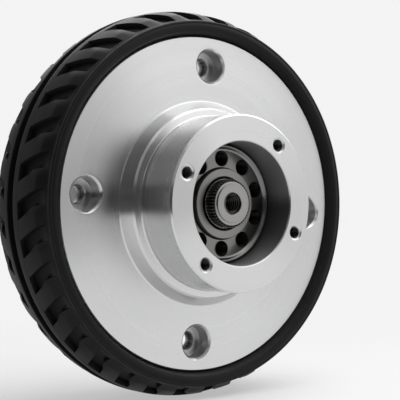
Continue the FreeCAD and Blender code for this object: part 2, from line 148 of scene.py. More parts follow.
class HubSettings(bpy.types.PropertyGroup):
    nose: length("Nose face", "Where the nose ring lies along the axle", HUB_LOW[1])
    back: length("Case end", "Where the gear case ends along the axle", HUB_HIGH[1])
    rim_radius: length("Rim radius", "Radius of the rim under the tyre", HUB_HIGH[0])
    rim_edge: length("Rim edge", "Bevel on the front edge of the rim", 0.4)
    rim_inside: length("Rim inside", "Inner radius of the rim at the back", 58.0)
    rim_back: length("Rim back", "Where the back of the rim lies along the axle", 43.0)
    bore_radius: length("Nose bore", "Radius of the opening in the nose", 23.0)
    nose_radius: length("Nose radius", "Radius of the nose barrel", 33.0)
    nose_edge: length("Nose edge", "Bevel on the front edge of the nose barrel", 0.6)
    collar_radius: length("Collar radius", "Radius of the collar at its front", 36.35)
    collar_edge: length("Collar edge", "Bevel on the front edge of the collar", 0.75)
    collar_base: length("Collar base", "Radius of the collar where it meets the disc", 39.1)
    collar_front: length("Collar front", "Where the collar starts along the axle", 5.4)
    ring_lean: length("Ring lean", "How far the ring before the collar leans from its middle", 0.27)
    disc: length("Disc face", "Where the disc lies along the axle", 11.0)
    web_back: length("Web back", "Where the back of the disc lies along the axle", 23.0)
    case_radius: length("Case radius", "Outer radius of the gear case", 48.0)
    chamber_radius: length("Chamber radius", "Radius of the gear chamber", 39.75)
    shelf_radius: length("Shelf radius", "Inner radius of the shelf behind the ring gear", 37.45)
    shelf_back: length("Shelf back", "Where the ring gear's seat lies along the axle", 40.0)
    shelf_front: length("Shelf front", "Where the shelf ends along the axle", 35.0)
    seat_radius: length("Bearing seat", "Radius of the bearings' seat", 31.0)
    seat_front: length("Bearing stop", "Where the front bearing stops along the axle", 8.0)
    clip_radius: length("Clip radius", "Radius of the circlip's groove", 32.5)
    clip_front: length("Clip front", "Where the circlip's groove starts along the axle", 32.8)
    clip_back: length("Clip back", "Where the circlip's groove ends along the axle", 34.3)
    disc_holes: count("Disc holes", "Stepped holes in the disc", 4)
    disc_hole_turn: angle("Disc hole turn", "Angle of the first disc hole", 86.3)
    disc_hole_circle: length("Disc hole circle", "Radius of the circle of disc holes", 53.0)
    disc_step_radius: length("Step radius", "Radius of the step in a disc hole", 6.15)
    disc_step_depth: length("Step depth", "Depth of the step in a disc hole", 6.3)
    disc_hole_radius: length("Disc hole radius", "Radius of a disc hole below its step", 3.3)
    tap_circle: length("Tap circle", "Radius of the circle of tapped nose holes", 28.0)
    tap_turn: angle("Tap turn", "How far the four tapped holes are turned", 14.3)
    tap_pair: angle("Tap pair", "Angle between the two holes of a pair", 75.0)
    tap_core: length("Tap core", "Radius of a nose hole at the thread's crests", 2.1)
    tap_mouth: length("Tap mouth", "Radius of a nose hole's countersink", 3.0)


class FlangeSettings(bpy.types.PropertyGroup):
    radius: length("Flange radius", "Outer radius of the fixed flange", SPINDLE_HIGH[0])
    thickness: length("Flange thickness", "Thickness of the fixed flange", 8.0)
    seal_front: length("Seal front", "Where the groove of the hub seal starts along the axle", 2.6)
    seal_back: length("Seal back", "Where the groove of the hub seal ends along the axle", 5.0)
    seal_depth: length("Seal depth", "Depth of the groove of the hub seal", 1.6)
    spindle_radius: length("Spindle radius", "Radius of the spindle under the bearings", 20.0)
    spindle_bore: length("Spindle bore", "Radius of the bore for the shaft's bushes", 12.0)
    back: length("Spindle end", "Where the spindle ends along the axle", SPINDLE_HIGH[1])
    carrier_circle: length("Carrier circle", "Radius of the circle of the carrier's screws", 16.0)
    carrier_hole: length("Carrier hole", "Radius of a hole for a carrier screw", 2.02)
    lip_width: length("Lip width", "Width of the rounded lip", 2.3)
    lip_height: length("Lip height", "Height of the rounded lip", 1.1)
    hole_circle: length("Hole circle", "Radius of the circle of tapped holes", 17.0)
    hole_radius: length("Hole radius", "Radius of a tapped hole", 3.0)
    holes: count("Holes", "Tapped holes in the flange", 10)
    boss_radius: length("Boss radius", "Outer radius of the raised ring", BOSS_HIGH[0])
    boss_front: length("Boss front", "Where the raised ring's face lies along the axle", BOSS_LOW[1])
    boss_bore: length("Boss bore", "Inner radius of the raised ring", 9.9)
    boss_seat: length("Boss seat", "Where the raised ring's seat lies along the axle", 4.4)


class ShaftSettings(bpy.types.PropertyGroup):
    tip: length("Shaft tip", "Where the shaft starts along the axle", SHAFT_LOW[1])
    end: length("Shaft end", "Where the sun gear ends along the axle", SHAFT_HIGH[1])
    tap_core: length("Tap core", "Radius of the hole in the tip at the thread's crests", 3.4)
    tip_radius: length("Tip radius", "Radius of the shaft's front face", 7.15)
    collar_radius: length("Tip collar", "Radius of the collar before the serrations", 8.1)
    crest_radius: length("Serration crest", "Radius over the serrations", 9.1)
    root_radius: length("Serration root", "Radius at the root of the serrations", 8.4)
    serrations: count("Serrations", "Serrations round the shaft", 45)
    serration_end: length("Serration end", "Where the serrations end along the axle", -2.2)
    base_radius: length("Base radius", "Radius of the shaft behind the serrations", 9.3)
    clip_radius: length("Clip radius", "Radius of the circlip's groove", 9.0)
    clip_front: length("Clip front", "Where the circlip's groove starts along the axle", 4.4)
    clip_back: length("Clip back", "Where the circlip's groove ends along the axle", 5.6)
    body_radius: length("Body radius", "Radius of the shaft in its bushes", 10.0)
    stop_radius: length("Stop radius", "Radius of the collar behind the bushes", 11.5)
    stop_front: length("Stop front", "Where the collar behind the bushes starts along the axle", 31.2)
    stop_back: length("Stop back", "Where the collar behind the bushes ends along the axle", 32.6)
    neck_radius: length("Neck radius", "Radius of the neck before the sun gear", 6.25)
    gear_front: length("Gear front", "Where the sun gear starts along the axle", 40.5)
    sun_teeth: count("Sun teeth", "Teeth of the sun gear", 15)


class CoverSettings(bpy.types.PropertyGroup):
    front: length("Cover seat", "Where the cover meets the case", HUB_HIGH[1])
    back: length("Cover face", "Where the cover's face lies along the axle", COVER_HIGH[1])
    radius: length("Cover radius", "Outer radius of the cover", COVER_HIGH[0])
    edge: length("Cover edge", "Bevel on the cover's outer edge", 0.8)
    spigot: length("Spigot radius", "Radius of the cover's spigot in the case", 39.72)
    spigot_end: length("Spigot end", "Where the spigot ends along the axle", 49.02)
    spigot_inside: length("Spigot inside", "Inner radius of the spigot", 37.45)
    screws: count("Cover screws", "Screws round the cover", 8)
    screw_turn: angle("Screw turn", "Angle of the first screw", 22.5)
    screw_circle: length("Screw circle", "Radius of the circle of screws", 43.875)
    screw_radius: length("Screw radius", "Radius of a screw's shank", 2.0)
    hole_radius: length("Screw hole", "Radius of a screw's hole in the cover", 2.2)
    head_radius: length("Head radius", "Radius of a screw's head", 3.5)
    head_top: length("Head top", "Where the screw heads end along the axle", SCREW_HIGH[1])
    socket: length("Socket", "Width across the flats of a screw's socket", 3.0)


class FinishSettings(bpy.types.PropertyGroup):
    rubber: colour("Tread rubber", "Colour of the tyre", (0.0038, 0.0038, 0.004))
    aluminium: colour("Turned aluminium", "Colour of the hub", (0.69, 0.69, 0.695))
    cover: colour("Cover aluminium", "Colour of the rear cover", (0.62, 0.62, 0.63))
    flange: colour("Dark flange", "Colour of the fixed flange", (0.215, 0.212, 0.208))
    boss: colour("Raised ring", "Colour of the raised steel ring", (0.27, 0.265, 0.258))
    shaft: colour("Shaft steel", "Colour of the serrated shaft", (0.34, 0.335, 0.33))
    gear: colour("Gear steel", "Colour of the gears", (0.42, 0.42, 0.43))
    bearing: colour("Bearing steel", "Colour of the bearings", (0.66, 0.66, 0.67))
    black: colour("Black steel", "Colour of the screws and circlips", (0.045, 0.045, 0.048))
    bronze: colour("Bronze", "Colour of the bushes", (0.62, 0.45, 0.22))
    seal: colour("Seal rubber", "Colour of the seals", (0.018, 0.018, 0.018))
    cage: colour("Cage plastic", "Colour of the bearing cages", (0.70, 0.66, 0.55))


class StageSettings(bpy.types.PropertyGroup):
    floor: colour("Floor", "Colour of the floor", (0.63, 0.63, 0.63))
    backdrop: colour("Backdrop", "Colour of the background", (0.90, 0.90, 0.90))
    lens: FloatProperty(name="Lens", description="Focal length of the camera", default=108.0, unit="CAMERA")
    azimuth: angle("Azimuth", "Camera angle round the wheel", -37.45)
    elevation: angle("Elevation", "Camera angle above the axle", -0.088)
    distance: length("Distance", "Distance of the camera from the disc", 460.54)
    aside: length("Aside", "How far the camera stands to the right", -1.3665)
    above: length("Above", "How far the camera stands up", 1.3495)


# Meshes

class Skin:
    """Grids of points, in millimetres, that are welded into one closed mesh."""

    def __init__(self):
        self.points = []
        self.quads = []
        self.recess = []
        self.total = 0

    def add(self, grid, closed=True, recess=0.0):
        """Take a grid of rows and columns of points; closed joins the last column to the first.

        The last argument gives the painted shade of each row or point: how far its colour is darkened, from
        0 in the open to 1 where it is darkest.
        """
        rows, columns = grid.shape[:2]
        deep = np.asarray(recess, dtype=float)
        deep = np.broadcast_to(deep.reshape(-1, 1) if deep.ndim < 2 else deep, (rows, columns))
        self.recess.append(deep.ravel())
        index = np.arange(rows * columns).reshape(rows, columns) + self.total
        if closed:
            index = np.hstack([index, index[:, :1]])
        corners = [index[:-1, :-1], index[1:, :-1], index[1:, 1:], index[:-1, 1:]]
        self.quads.append(np.stack(corners, axis=-1).reshape(-1, 4))
        self.points.append(grid.reshape(-1, 3))
        self.total += rows * columns

    def build(self, name, body, slot, crease=32.0, nodes=()):
        """Weld the grids, turn the faces outwards and hang the piece on its CAD body."""
        points = np.concatenate(self.points).astype(np.float32) * MM
        quads = np.concatenate(self.quads).astype(np.int32)
        mesh = bpy.data.meshes.new(name)
        mesh.vertices.add(len(points))
        mesh.vertices.foreach_set("co", points.ravel())
        mesh.loops.add(quads.size)
        mesh.loops.foreach_set("vertex_index", quads.ravel())
        mesh.polygons.add(len(quads))
        mesh.polygons.foreach_set("loop_start", np.arange(0, quads.size, 4, dtype=np.int32))
        mesh.update(calc_edges=True)
        # The painted shade goes on the mesh as a point attribute that the materials read.
        deep = mesh.attributes.new("recess", "FLOAT", "POINT")
        deep.data.foreach_set("value", np.concatenate(self.recess).astype(np.float32))
        work = bmesh.new()
        work.from_mesh(mesh)
        bmesh.ops.remove_doubles(work, verts=work.verts, dist=WELD)
        bmesh.ops.recalc_face_normals(work, faces=work.faces)
        work.to_mesh(mesh)
        work.free()
        mesh.shade_smooth()
        mesh.set_sharp_from_angle(angle=math.radians(crease))
        mesh.materials.append(finish(slot))
        piece = bpy.data.objects.new(name, mesh)
        bpy.context.scene.collection.objects.link(piece)
        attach(piece, body)
        if nodes:
            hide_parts(*nodes)
        return piece


def around(radius, y, theta):
    """Points at a radius and place along the axle: x = r cos(angle), z = r sin(angle)."""
    radius, y, theta = np.broadcast_arrays(radius, y, theta)
    return np.stack([radius * np.cos(theta), y, radius * np.sin(theta)], axis=-1)


def lathe(profile, theta):
    """Turn (radius, y) rows about the axle through the angles theta."""
    profile = np.asarray(profile, dtype=float)
    return around(profile[:, :1], profile[:, 1:], theta[None, :])


def rounded(corners, steps=3, guard=0.05, closed=False):
    """Profile through corners (radius, y, rounding): arcs at the corners, a guard point beside each arc.

    An arc is the rational curve (A (1-t)^2 + 2 w t (1-t) P + B t^2) / ((1-t)^2 + 2 w t (1-t) + t^2)
    through its two tangent points A and B, with w the sine of half the corner's angle.
    """
    corners = np.array(corners, dtype=float)
    points, radii = corners[:, :2], corners[:, 2]
    before = np.roll(points, 1, axis=0) - points
    after = np.roll(points, -1, axis=0) - points
    if not closed:
        before[0] = points[0] - points[1]
        after[-1] = points[-1] - points[-2]
        radii[[0, -1]] = 0.0
    reach = np.minimum(np.hypot(*before.T), np.hypot(*after.T))
    before /= np.hypot(*before.T)[:, None]
    after /= np.hypot(*after.T)[:, None]
    half = 0.5 * np.arccos(np.clip((before * after).sum(axis=1), -1.0, 1.0))
    tangent = np.minimum(radii / np.maximum(np.tan(half), 1e-6), 0.45 * reach)
    tangent[half > 1.55] = 0.0
    t = np.linspace(0.0, 1.0, steps + 1)[None, :, None]
    start = (points + before * tangent[:, None])[:, None, :]
    stop = (points + after * tangent[:, None])[:, None, :]
    weight = np.sin(half)[:, None, None]
    middle = 2.0 * weight * t * (1.0 - t)
    arc = (start * (1.0 - t) ** 2 + middle * points[:, None, :] + stop * t ** 2)
    arc = arc / ((1.0 - t) ** 2 + middle + t ** 2)
    gap = np.minimum(guard, 0.3 * (reach - tangent).clip(0.0))[:, None, None]
    ahead = start + before[:, None, :] * gap
    behind = stop + after[:, None, :] * gap
    rows = np.concatenate([ahead, arc, behind], axis=1)
    if not closed:
        rows[0] = points[0]
        rows[-1] = points[-1]
    rows = rows.reshape(-1, 2)
    keep = np.hypot(*(rows - np.roll(rows, 1, axis=0)).T) > 1e-4
    keep[0] = True
    return rows[keep]


def angle_grid(columns, first=0.0):
    """Evenly spaced angles round the axle, starting at first degrees."""
    return math.radians(first) + TAU * np.arange(columns) / columns


def places(first, number):
    """Angles of a number of holes spaced evenly round the axle."""
    return [first + TAU * k / number for k in range(number)]


def hole_rows(path, columns):
    """Rows (radius, y) of a wall; a radius is one number, or an array with a number for each column."""
    radius = np.stack([np.broadcast_to(np.asarray(r, dtype=float), columns) for r, _ in path])
    return radius, np.array([y for _, y in path], dtype=float)


def screw_hole(radius, y, columns):
    """Wall of a plain hole for a screw: 9 mm deep from y towards the front, with a cone at its end."""
    return hole_rows([(radius, y), (radius, y - 9.0), (0.0, y - 9.8)], columns)


def thread_rows(core, y0, y1, columns, depth, pitch, per_pitch=8):
    """Rows of a tapped wall: radius = core + depth * wave(y / pitch + angle), fading at its far end.

    The wave is a clipped triangle, so crests and roots are flat as in a metric thread.
    """
    rows = max(4, int(round(per_pitch * (y1 - y0) / pitch)))
    y = np.linspace(y0, y1, rows + 1)
    turn = np.arange(columns) / columns
    phase = (y[:, None] / pitch + turn[None, :]) % 1.0
    wave = np.clip(1.6 * (1.0 - np.abs(2.0 * phase - 1.0)) - 0.3, 0.0, 1.0)
    fade = np.clip((y1 - y) / (0.6 * pitch), 0.0, 1.0)
    return core + depth * wave * fade[:, None], y


def join_rows(*parts):
    """Stack several pieces of a hole's wall."""
    return np.concatenate([p[0] for p in parts]), np.concatenate([p[1] for p in parts])


def holed_ring(skin, theta, y, inner, outer, circle, centres, half, wall, across=8, rings=5,
               shade=((0.35, 0.0), (0.85, 1.0)), painted_glint=0.15):
    """Flat ring with a hole in a sector of 2 * half columns round each of the centres.

    In such a sector, straight lines run from the sector's border to the mouth of the hole:
    point = (1 - t) * border + t * mouth. The rows of the wall then follow the hole down.
    Shade gives the painted shade in the hole by (depth, amount) pairs, and the last argument takes some of
    it off a thread's crests as a painted highlight.
    """
    columns = len(theta)
    step = TAU / columns
    radii = np.linspace(inner, outer, across + 1)
    starts = []
    for centre in centres:
        first = int(round((centre - theta[0]) / step - half))
        starts.append(first % columns)
        arc = theta[0] + step * np.arange(first, first + 2 * half + 1)
        border = np.concatenate([
            np.stack([np.full(2 * half, inner), arc[:-1]], axis=1),
            np.stack([radii[:-1], np.full(across, arc[-1])], axis=1),
            np.stack([np.full(2 * half, outer), arc[:0:-1]], axis=1),
            np.stack([radii[:0:-1], np.full(across, arc[0])], axis=1),
        ])
        total = len(border)
        border = around(border[:, 0], y, border[:, 1])
        beta = math.radians(-135.0) - TAU * np.arange(total) / total
        radius, depth = wall(total)
        ahead = np.array([math.cos(centre), 0.0, math.sin(centre)])
        aside = np.array([-math.sin(centre), 0.0, math.cos(centre)])
        rays = np.cos(beta)[None, :, None] * ahead + np.sin(beta)[None, :, None] * aside
        circles = rays * radius[..., None] + ahead * circle
        circles[..., 1] += depth[:, None]
        t = np.linspace(0.0, 1.0, rings + 1)[:-1, None, None]
        flat = (1.0 - t) * border[None] + t * circles[:1]
        # Painted shade down the hole's wall, less of it on a thread's crests as a painted highlight.
        deep = np.interp(np.abs(depth - y), *zip(*shade))
        relief = max(float(np.ptp(radius, axis=1).max()), 0.2)
        crest = (radius.max(axis=1, keepdims=True) - radius) / relief
        deep = deep[:, None] * (1.0 - painted_glint * crest ** 8)
        skin.add(np.concatenate([flat, circles]), recess=np.concatenate([np.zeros((rings, total)), deep]))
    order = sorted(starts)
    flat = np.stack([radii, np.full(across + 1, y)], axis=1)
    for begin, following in zip(order, order[1:] + [order[0] + columns]):
        span = np.arange(begin + 2 * half, following + 1)
        if len(span) > 1:
            skin.add(lathe(flat, theta[0] + step * span), closed=False)


# Tyre

def make_tyre(s):
    """Tyre as a grid r(u, s): u runs along the tread from slot to slot, s across it from the middle.

    The crown is a circle's arc to the block ends, then a bevel down to the shoulder band. A slot lowers the
    crown to its floor: r = crown - mask_u * mask_s * (crown - floor), and the columns lean with the slots.
    """
    middle = 0.5 * (s.front + s.back)
    half_width = 0.5 * (s.back - s.front)
    pitch = TAU * s.radius / s.slot_count
    wall = 0.5 * s.slot_width
    other = 0.5 * pitch - wall
    start = s.slot_start
    end = s.block_end
    groove = 0.5 * s.groove_width

    # Columns along one pitch and rows across the tread, close together where a wall rises from its foot
    foot, knee, brow = 0.5, 0.22, 0.1
    wall_columns = [wall - foot, wall - knee, wall, wall + brow]
    wall_rows = [start - brow, start, start + knee, start + foot]
    groove_rows = [groove - 0.42, groove - 0.36, groove - 0.04, groove + 0.12]
    near = np.array([0.0, 0.45 * wall, *wall_columns, 0.5 * (wall + other), other - brow, other,
                     other + knee, other + foot, 0.5 * (other + foot + 0.5 * pitch)])
    u = np.concatenate([-near[:0:-1], near, [0.5 * pitch]])
    across = np.array([0.0, 0.5 * groove, *groove_rows, groove + 0.5, 3.4, start - 0.5, *wall_rows,
                       6.6, 8.0, 9.4, 10.8, 12.0, 12.9, end - 0.3, end, end + 0.3, 14.6, 15.6, 16.5,
                       s.band_start - 0.15, s.band_start + 0.1, half_width - 1.15, half_width - 1.0])
    across = np.concatenate([-across[:0:-1], across])
    away = np.abs(across)

    curve = (end ** 2 + s.block_drop ** 2) / (2.0 * s.block_drop)
    drop = curve - np.sqrt(curve ** 2 - np.minimum(away, end) ** 2)
    slope = (s.band_drop - s.block_drop) / (s.band_start - end)
    drop += slope * np.clip(away - end, 0.0, s.band_start - end)
    drop += 0.12 * np.clip(away - s.band_start, 0.0, None)
    eased = np.isin(np.round(away, 4), np.round([end, start, groove_rows[-1]], 4))
    crown = s.radius - drop - 0.05 * eased
    dip = s.slot_depth * np.interp(away, [start, 9.0, 11.5, end - 0.6, end, end + 1.0, end + 2.0, end + 2.9],
                                   [1.0, 1.0, 0.98, 0.95, 0.92, 0.78, 0.34, 0.0])
    floor = crown - dip
    crown = crown - s.groove_depth * np.interp(away, groove_rows, [1.0, 0.95, 0.06, 0.0])

    # The far side's slots lie half a pitch along
    offset = np.where(across < 0, u[:, None], (u[:, None] % pitch) - 0.5 * pitch)
    gap = np.abs(offset)
    mask_u = np.interp(gap, wall_columns, [1.0, 0.94, 0.06, 0.0])
    mask_s = np.interp(away, wall_rows, [0.0, 0.06, 0.94, 1.0])
    radius = crown - mask_u * mask_s * (crown - floor)

    # Slots lean, bend back near the shoulder, and the leading corners of the blocks are pulled in
    past = np.clip(away - start, 0.0, s.band_start - start)
    late = np.clip(past - 8.0, 0.0, None)
    lean = math.tan(s.slot_lean) * (past - late ** 2 / 14.0)
    before = np.clip(offset / wall, 0.0, 1.0)
    beyond = np.clip(1.0 - (offset - wall) / 3.2, 0.0, 1.0)
    pull = s.corner * np.where(offset < wall, before, beyond) ** 2
    weight = np.interp(away, [9.4, end - 0.3, end + 0.3, s.band_start], [0.0, 1.0, 1.0, 0.0])
    shifted = across - np.sign(across) * pull * weight

    turn = (u[:, None] - lean[None, :]) / s.radius
    slots = np.array(places(UP + s.tread_turn, s.slot_count))
    theta = (slots[:, None, None] + turn[None]).reshape(-1, len(across))
    radius = np.tile(radius, (s.slot_count, 1))
    y = middle + np.tile(shifted, (s.slot_count, 1))

    edge = s.radius - s.band_drop
    side = rounded([(edge - 0.22, half_width - 1.0, 0.0), (edge - 0.02, half_width - 0.82, 0.12),
                    (edge + 0.02, half_width - 0.4, 0.2), (edge - 0.55, half_width - 0.1, 0.3),
                    (edge - 1.0, half_width - 0.35, 0.3), (edge - 1.5, half_width - 0.12, 0.4),
                    (s.bore + 3.2, half_width - 0.02, 1.0), (s.bore + 1.7, half_width - 0.6, 0.4),
                    (s.bore + 0.9, half_width - 2.5, 0.4), (s.bore, half_width - 4.4, 0.2),
                    (s.bore, 0.0, 0.0)], steps=2, guard=0.0)
    last = theta[:, -1:]
    grid = np.concatenate([around(side[::-1, 0], middle - side[::-1, 1], last), around(radius, y, theta),
                           around(side[:, 0], middle + side[:, 1], last)], axis=1)

    # Painted shade in the slots and the centre groove: walls fully shaded, slot floors most at their inner
    # end and fading towards the shoulder.
    shade = np.interp(away, [start, 8.0, 11.0, end - 0.6, end + 1.4], [0.95, 0.85, 0.7, 0.55, 0.05])
    side_wall_painted_shade = np.interp(gap, wall_columns, [0.0, 1.0, 0.6, 0.0]) * mask_s * np.clip(dip, 0.0, 1.0)
    end_wall_painted_shade = np.interp(away, wall_rows, [0.0, 0.6, 1.0, 0.0]) * mask_u
    groove_painted_shade = np.interp(away, groove_rows[1:], [1.0, 0.8, 0.0])
    deep = np.maximum(np.maximum(mask_u * mask_s * shade, side_wall_painted_shade), np.maximum(end_wall_painted_shade, groove_painted_shade))
    deep = np.pad(np.tile(deep, (s.slot_count, 1)), ((0, 0), (len(side), len(side))))
    skin = Skin()
    skin.add(grid.transpose(1, 0, 2), recess=deep.T)
    return skin.build("tyre_tread", "wheel", "tread_rubber", crease=38.0, nodes=("tyre",))


# Hub

def make_hub(s, cover):
    """Hub as profiles (radius, y) turned about the axle, and flat rings with holes between them.

    All share one set of angles, a degree apart, so that their borders weld.
    """
    theta = angle_grid(360, 0.3)
    skin = Skin()
    ease = 0.12
    nose_in = s.bore_radius + 0.75
    nose_out = s.nose_radius - 0.75
    disc_in = s.collar_base + 1.4
    disc_out = s.rim_radius - s.rim_edge - 0.3
    back_in = s.case_radius + 1.6
    back_out = s.rim_inside - 1.6
    case_in = s.chamber_radius + 0.7
    case_out = s.case_radius - 0.7
    hole = s.disc_hole_radius
    floor = s.disc + s.disc_step_depth
    halfway = 0.5 * (floor + s.web_back)

    def tap_wall(columns):
        y = s.nose
        mouth = hole_rows([(s.tap_mouth, y), (s.tap_mouth - 0.07, y + 0.03), (s.tap_core + 0.42, y + 0.42)],
                          columns)
        thread = thread_rows(s.tap_core, y + 0.5, y + 10.6, columns, depth=0.4, pitch=0.8, per_pitch=6)
        return join_rows(mouth, thread, hole_rows([(s.tap_core, y + 12.0), (0.0, y + 13.0)], columns))

    def step_wall(columns):
        y = s.disc
        step = s.disc_step_radius
        return hole_rows([(step + 0.88, y), (step + 0.8, y + 0.02), (step + 0.74, y + 0.08),
                          (step + 0.06, y + 0.76), (step, y + 0.85), (step, y + 2.6), (step, y + 2.7),
                          (step, floor - 0.35), (step - 0.1, floor - 0.1), (step - 0.35, floor),
                          (hole + 0.45, floor), (hole + 0.35, floor + 0.02), (hole + 0.02, floor + 0.35),
                          (hole, floor + 0.45), (hole, halfway)], columns)

    def back_wall(columns):
        y = s.web_back
        return hole_rows([(hole + 0.4, y), (hole + 0.36, y - 0.04), (hole, y - 0.4), (hole, halfway)],
                         columns)

    def screw_wall(columns):
        return screw_hole(cover.screw_radius + 0.02, s.back, columns)

    pair = 0.5 * s.tap_pair
    taps = [s.tap_turn + a for a in (pair, math.pi - pair, math.pi + pair, -pair)]
    # The nose taps: painted shade in the hole and a painted highlight on the thread's crests.
    holed_ring(skin, theta, s.nose, nose_in, nose_out, s.tap_circle, taps, half=12, wall=tap_wall,
               painted_glint=0.25)
    ring_front = s.collar_front - s.ring_lean
    ring_back = s.collar_front + s.ring_lean
    barrel = rounded([(nose_out, s.nose, 0.0), (s.nose_radius - s.nose_edge, s.nose, ease),
                      (s.nose_radius, s.nose + s.nose_edge, ease), (s.nose_radius, ring_front, 0.8),
                      (s.collar_radius - s.collar_edge, ring_back, ease),
                      (s.collar_radius, ring_back + s.collar_edge, ease), (s.collar_base, s.disc, 0.9),
                      (disc_in, s.disc, 0.0)], steps=4)
    skin.add(lathe(barrel, theta))

    discs = places(s.disc_hole_turn, s.disc_holes)
    # The stepped disc holes: light painted shade on the step, heavier painted shade through the hole.
    holed_ring(skin, theta, s.disc, disc_in, disc_out, s.disc_hole_circle, discs, half=20, wall=step_wall,
               across=10, rings=8, shade=((0.35, 0.0), (0.85, 0.25), (6.4, 0.25), (6.9, 0.8)))
    rim = rounded([(disc_out, s.disc, 0.0), (s.rim_radius - s.rim_edge, s.disc, ease),
                   (s.rim_radius, s.disc + s.rim_edge, ease), (s.rim_radius, s.rim_back, 0.5),
                   (s.rim_inside, s.rim_back, 0.5), (s.rim_inside, s.web_back, 1.2),
                   (back_out, s.web_back, 0.0)], steps=4)
    skin.add(lathe(rim, theta))
    # Painted shade in the disc holes from the back.
    holed_ring(skin, theta, s.web_back, back_in, back_out, s.disc_hole_circle, discs, half=20,
               wall=back_wall, across=10)

    case = rounded([(back_in, s.web_back, 0.0), (s.case_radius, s.web_back, 1.2),
                    (s.case_radius, s.back, 0.3), (case_out, s.back, 0.0)], steps=4)
    skin.add(lathe(case, theta))
    screws = places(cover.screw_turn, cover.screws)
    # Painted shade in the screw holes of the case.
    holed_ring(skin, theta, s.back, case_in, case_out, cover.screw_circle, screws, half=15,
               wall=screw_wall)

    inside = rounded([(case_in, s.back, 0.0), (s.chamber_radius, s.back, 0.1),
                      (s.chamber_radius, s.shelf_back, 0.1), (s.shelf_radius, s.shelf_back, 0.2),
                      (s.shelf_radius, s.shelf_front, 0.2), (s.seat_radius, s.shelf_front, 0.2),
                      (s.seat_radius, s.clip_back, 0.05), (s.clip_radius, s.clip_back, 0.05),
                      (s.clip_radius, s.clip_front, 0.05), (s.seat_radius, s.clip_front, 0.05),
                      (s.seat_radius, s.seat_front, 0.2), (s.bore_radius, s.seat_front, 0.3),
                      (s.bore_radius, s.nose + 0.4, ease), (s.bore_radius + 0.4, s.nose, ease),
                      (nose_in, s.nose, 0.0)], steps=1)
    # Painted shade in the nose bore, rising from the nose inwards.
    painted_bore_shade = np.interp(inside[:, 1], [s.nose, s.nose + 0.5, s.nose + 5.0, -3.0, -1.5],
                     [0.0, 0.5, 0.75, 0.92, 1.0])
    skin.add(lathe(inside, theta), recess=painted_bore_shade)
    return skin.build("hub_turned", "wheel", "turned_aluminium", nodes=("wheel_hub",))


# Fixed flange and its raised ring

def make_flange(s):
    """Spindle as turned profiles and two holed rings, two degrees apart: flange holes and carrier holes.

    The lip rises as -h/2 (1 - cos) over the first share of its width and falls as a quarter of an ellipse.
    """
    theta = angle_grid(180)
    skin = Skin()
    face_in = s.boss_radius + 0.5
    lip = s.radius - s.lip_width
    face_out = lip - 0.15
    back_in = s.spindle_bore + 0.6
    back_out = s.spindle_radius - 0.6

    def tapped(columns):
        hole = s.hole_radius
        core = hole - 0.46
        mouth = hole_rows([(hole, 0.0), (hole - 0.02, 0.04), (hole - 0.03, 0.12), (hole - 0.06, 0.2)],
                          columns)
        thread = thread_rows(core, 0.25, 6.6, columns, depth=0.46, pitch=1.0, per_pitch=6)
        return join_rows(mouth, thread, hole_rows([(core, 7.0), (0.0, 7.6)], columns))

    def carrier_wall(columns):
        return screw_hole(s.carrier_hole, s.back, columns)

    # The tapped holes: painted shade from their mouths in, with a painted highlight on the thread's crests.
    holed_ring(skin, theta, 0.0, face_in, face_out, s.hole_circle, places(UP, s.holes), half=9,
               wall=tapped, across=6, rings=4, shade=((0.0, 0.7), (0.15, 1.0)))
    skin.add(lathe([(face_out, 0.0), (lip, 0.0)], theta))
    risen = 0.74
    rise = np.linspace(0.0, 1.0, 9)
    fall = np.linspace(0.0, UP, 8)[1:]
    inner = np.stack([risen * rise, -0.5 * (1.0 - np.cos(math.pi * rise))], axis=1)
    outer = np.stack([risen + (1.0 - risen) * np.sin(fall), -np.cos(fall)], axis=1)
    bow = np.concatenate([inner, outer]) * (s.lip_width, s.lip_height) + (lip, 0.0)
    # Painted shade on the lip, heaviest at its crest.
    skin.add(lathe(bow, theta), recess=0.3 * np.clip(-bow[:, 1] / s.lip_height, 0.0, 1.0))
    sealed = s.radius - s.seal_depth
    outside = rounded([(s.radius, 0.0, 0.0), (s.radius, s.seal_front, 0.1), (sealed, s.seal_front, 0.1),
                       (sealed, s.seal_back, 0.1), (s.radius, s.seal_back, 0.1),
                       (s.radius, s.thickness, 0.2), (s.spindle_radius, s.thickness, 0.2),
                       (s.spindle_radius, s.back, 0.3), (back_out, s.back, 0.0)])
    skin.add(lathe(outside, theta))
    carrier = [math.radians(a) for a in (10, 50, 130, 170, 250, 290)]
    # Painted shade in the carrier screws' holes.
    holed_ring(skin, theta, s.back, back_in, back_out, s.carrier_circle, carrier, half=9,
               wall=carrier_wall, across=6, rings=4)
    inside = rounded([(back_in, s.back, 0.0), (s.spindle_bore, s.back, 0.2),
                      (s.spindle_bore, s.boss_seat, 0.1), (s.boss_radius, s.boss_seat, 0.1),
                      (s.boss_radius, 0.5, 0.1), (face_in, 0.0, 0.0)])
    skin.add(lathe(inside, theta))
    return skin.build("flange_spindle", "spindle", "dark_flange", nodes=("spindle",))


def make_boss(s):
    """Raised ring as one turned profile with eased edges."""
    front = s.boss_front
    bore = s.boss_bore
    outer = s.boss_radius
    ease = 0.1
    skirt = outer - 1.4
    floor = 0.6
    ring = rounded([(bore, front + 0.4, ease), (bore + 0.4, front, ease), (outer - 0.2, front, ease),
                    (outer, front + 0.2, ease), (outer, s.boss_seat, ease), (skirt, s.boss_seat, ease),
                    (skirt, floor, ease), (bore, floor, ease)], closed=True)
    skin = Skin()
    skin.add(lathe(np.vstack([ring, ring[:1]]), angle_grid(180)))
    return skin.build("raised_ring", "spindle", "bright_steel", nodes=("seal_carrier",))


# Input shaft

def serration(s, theta):
    """Radius round the serrations: a triangle wave with blunt crests and roots, a crest on top."""
    phase = ((theta - UP) * s.serrations / TAU + 1e-6) % 1.0
    wave = np.clip(1.5 * np.abs(2.0 * phase - 1.0) - 0.25, 0.0, 1.0)
    return s.root_radius + (s.crest_radius - s.root_radius) * wave


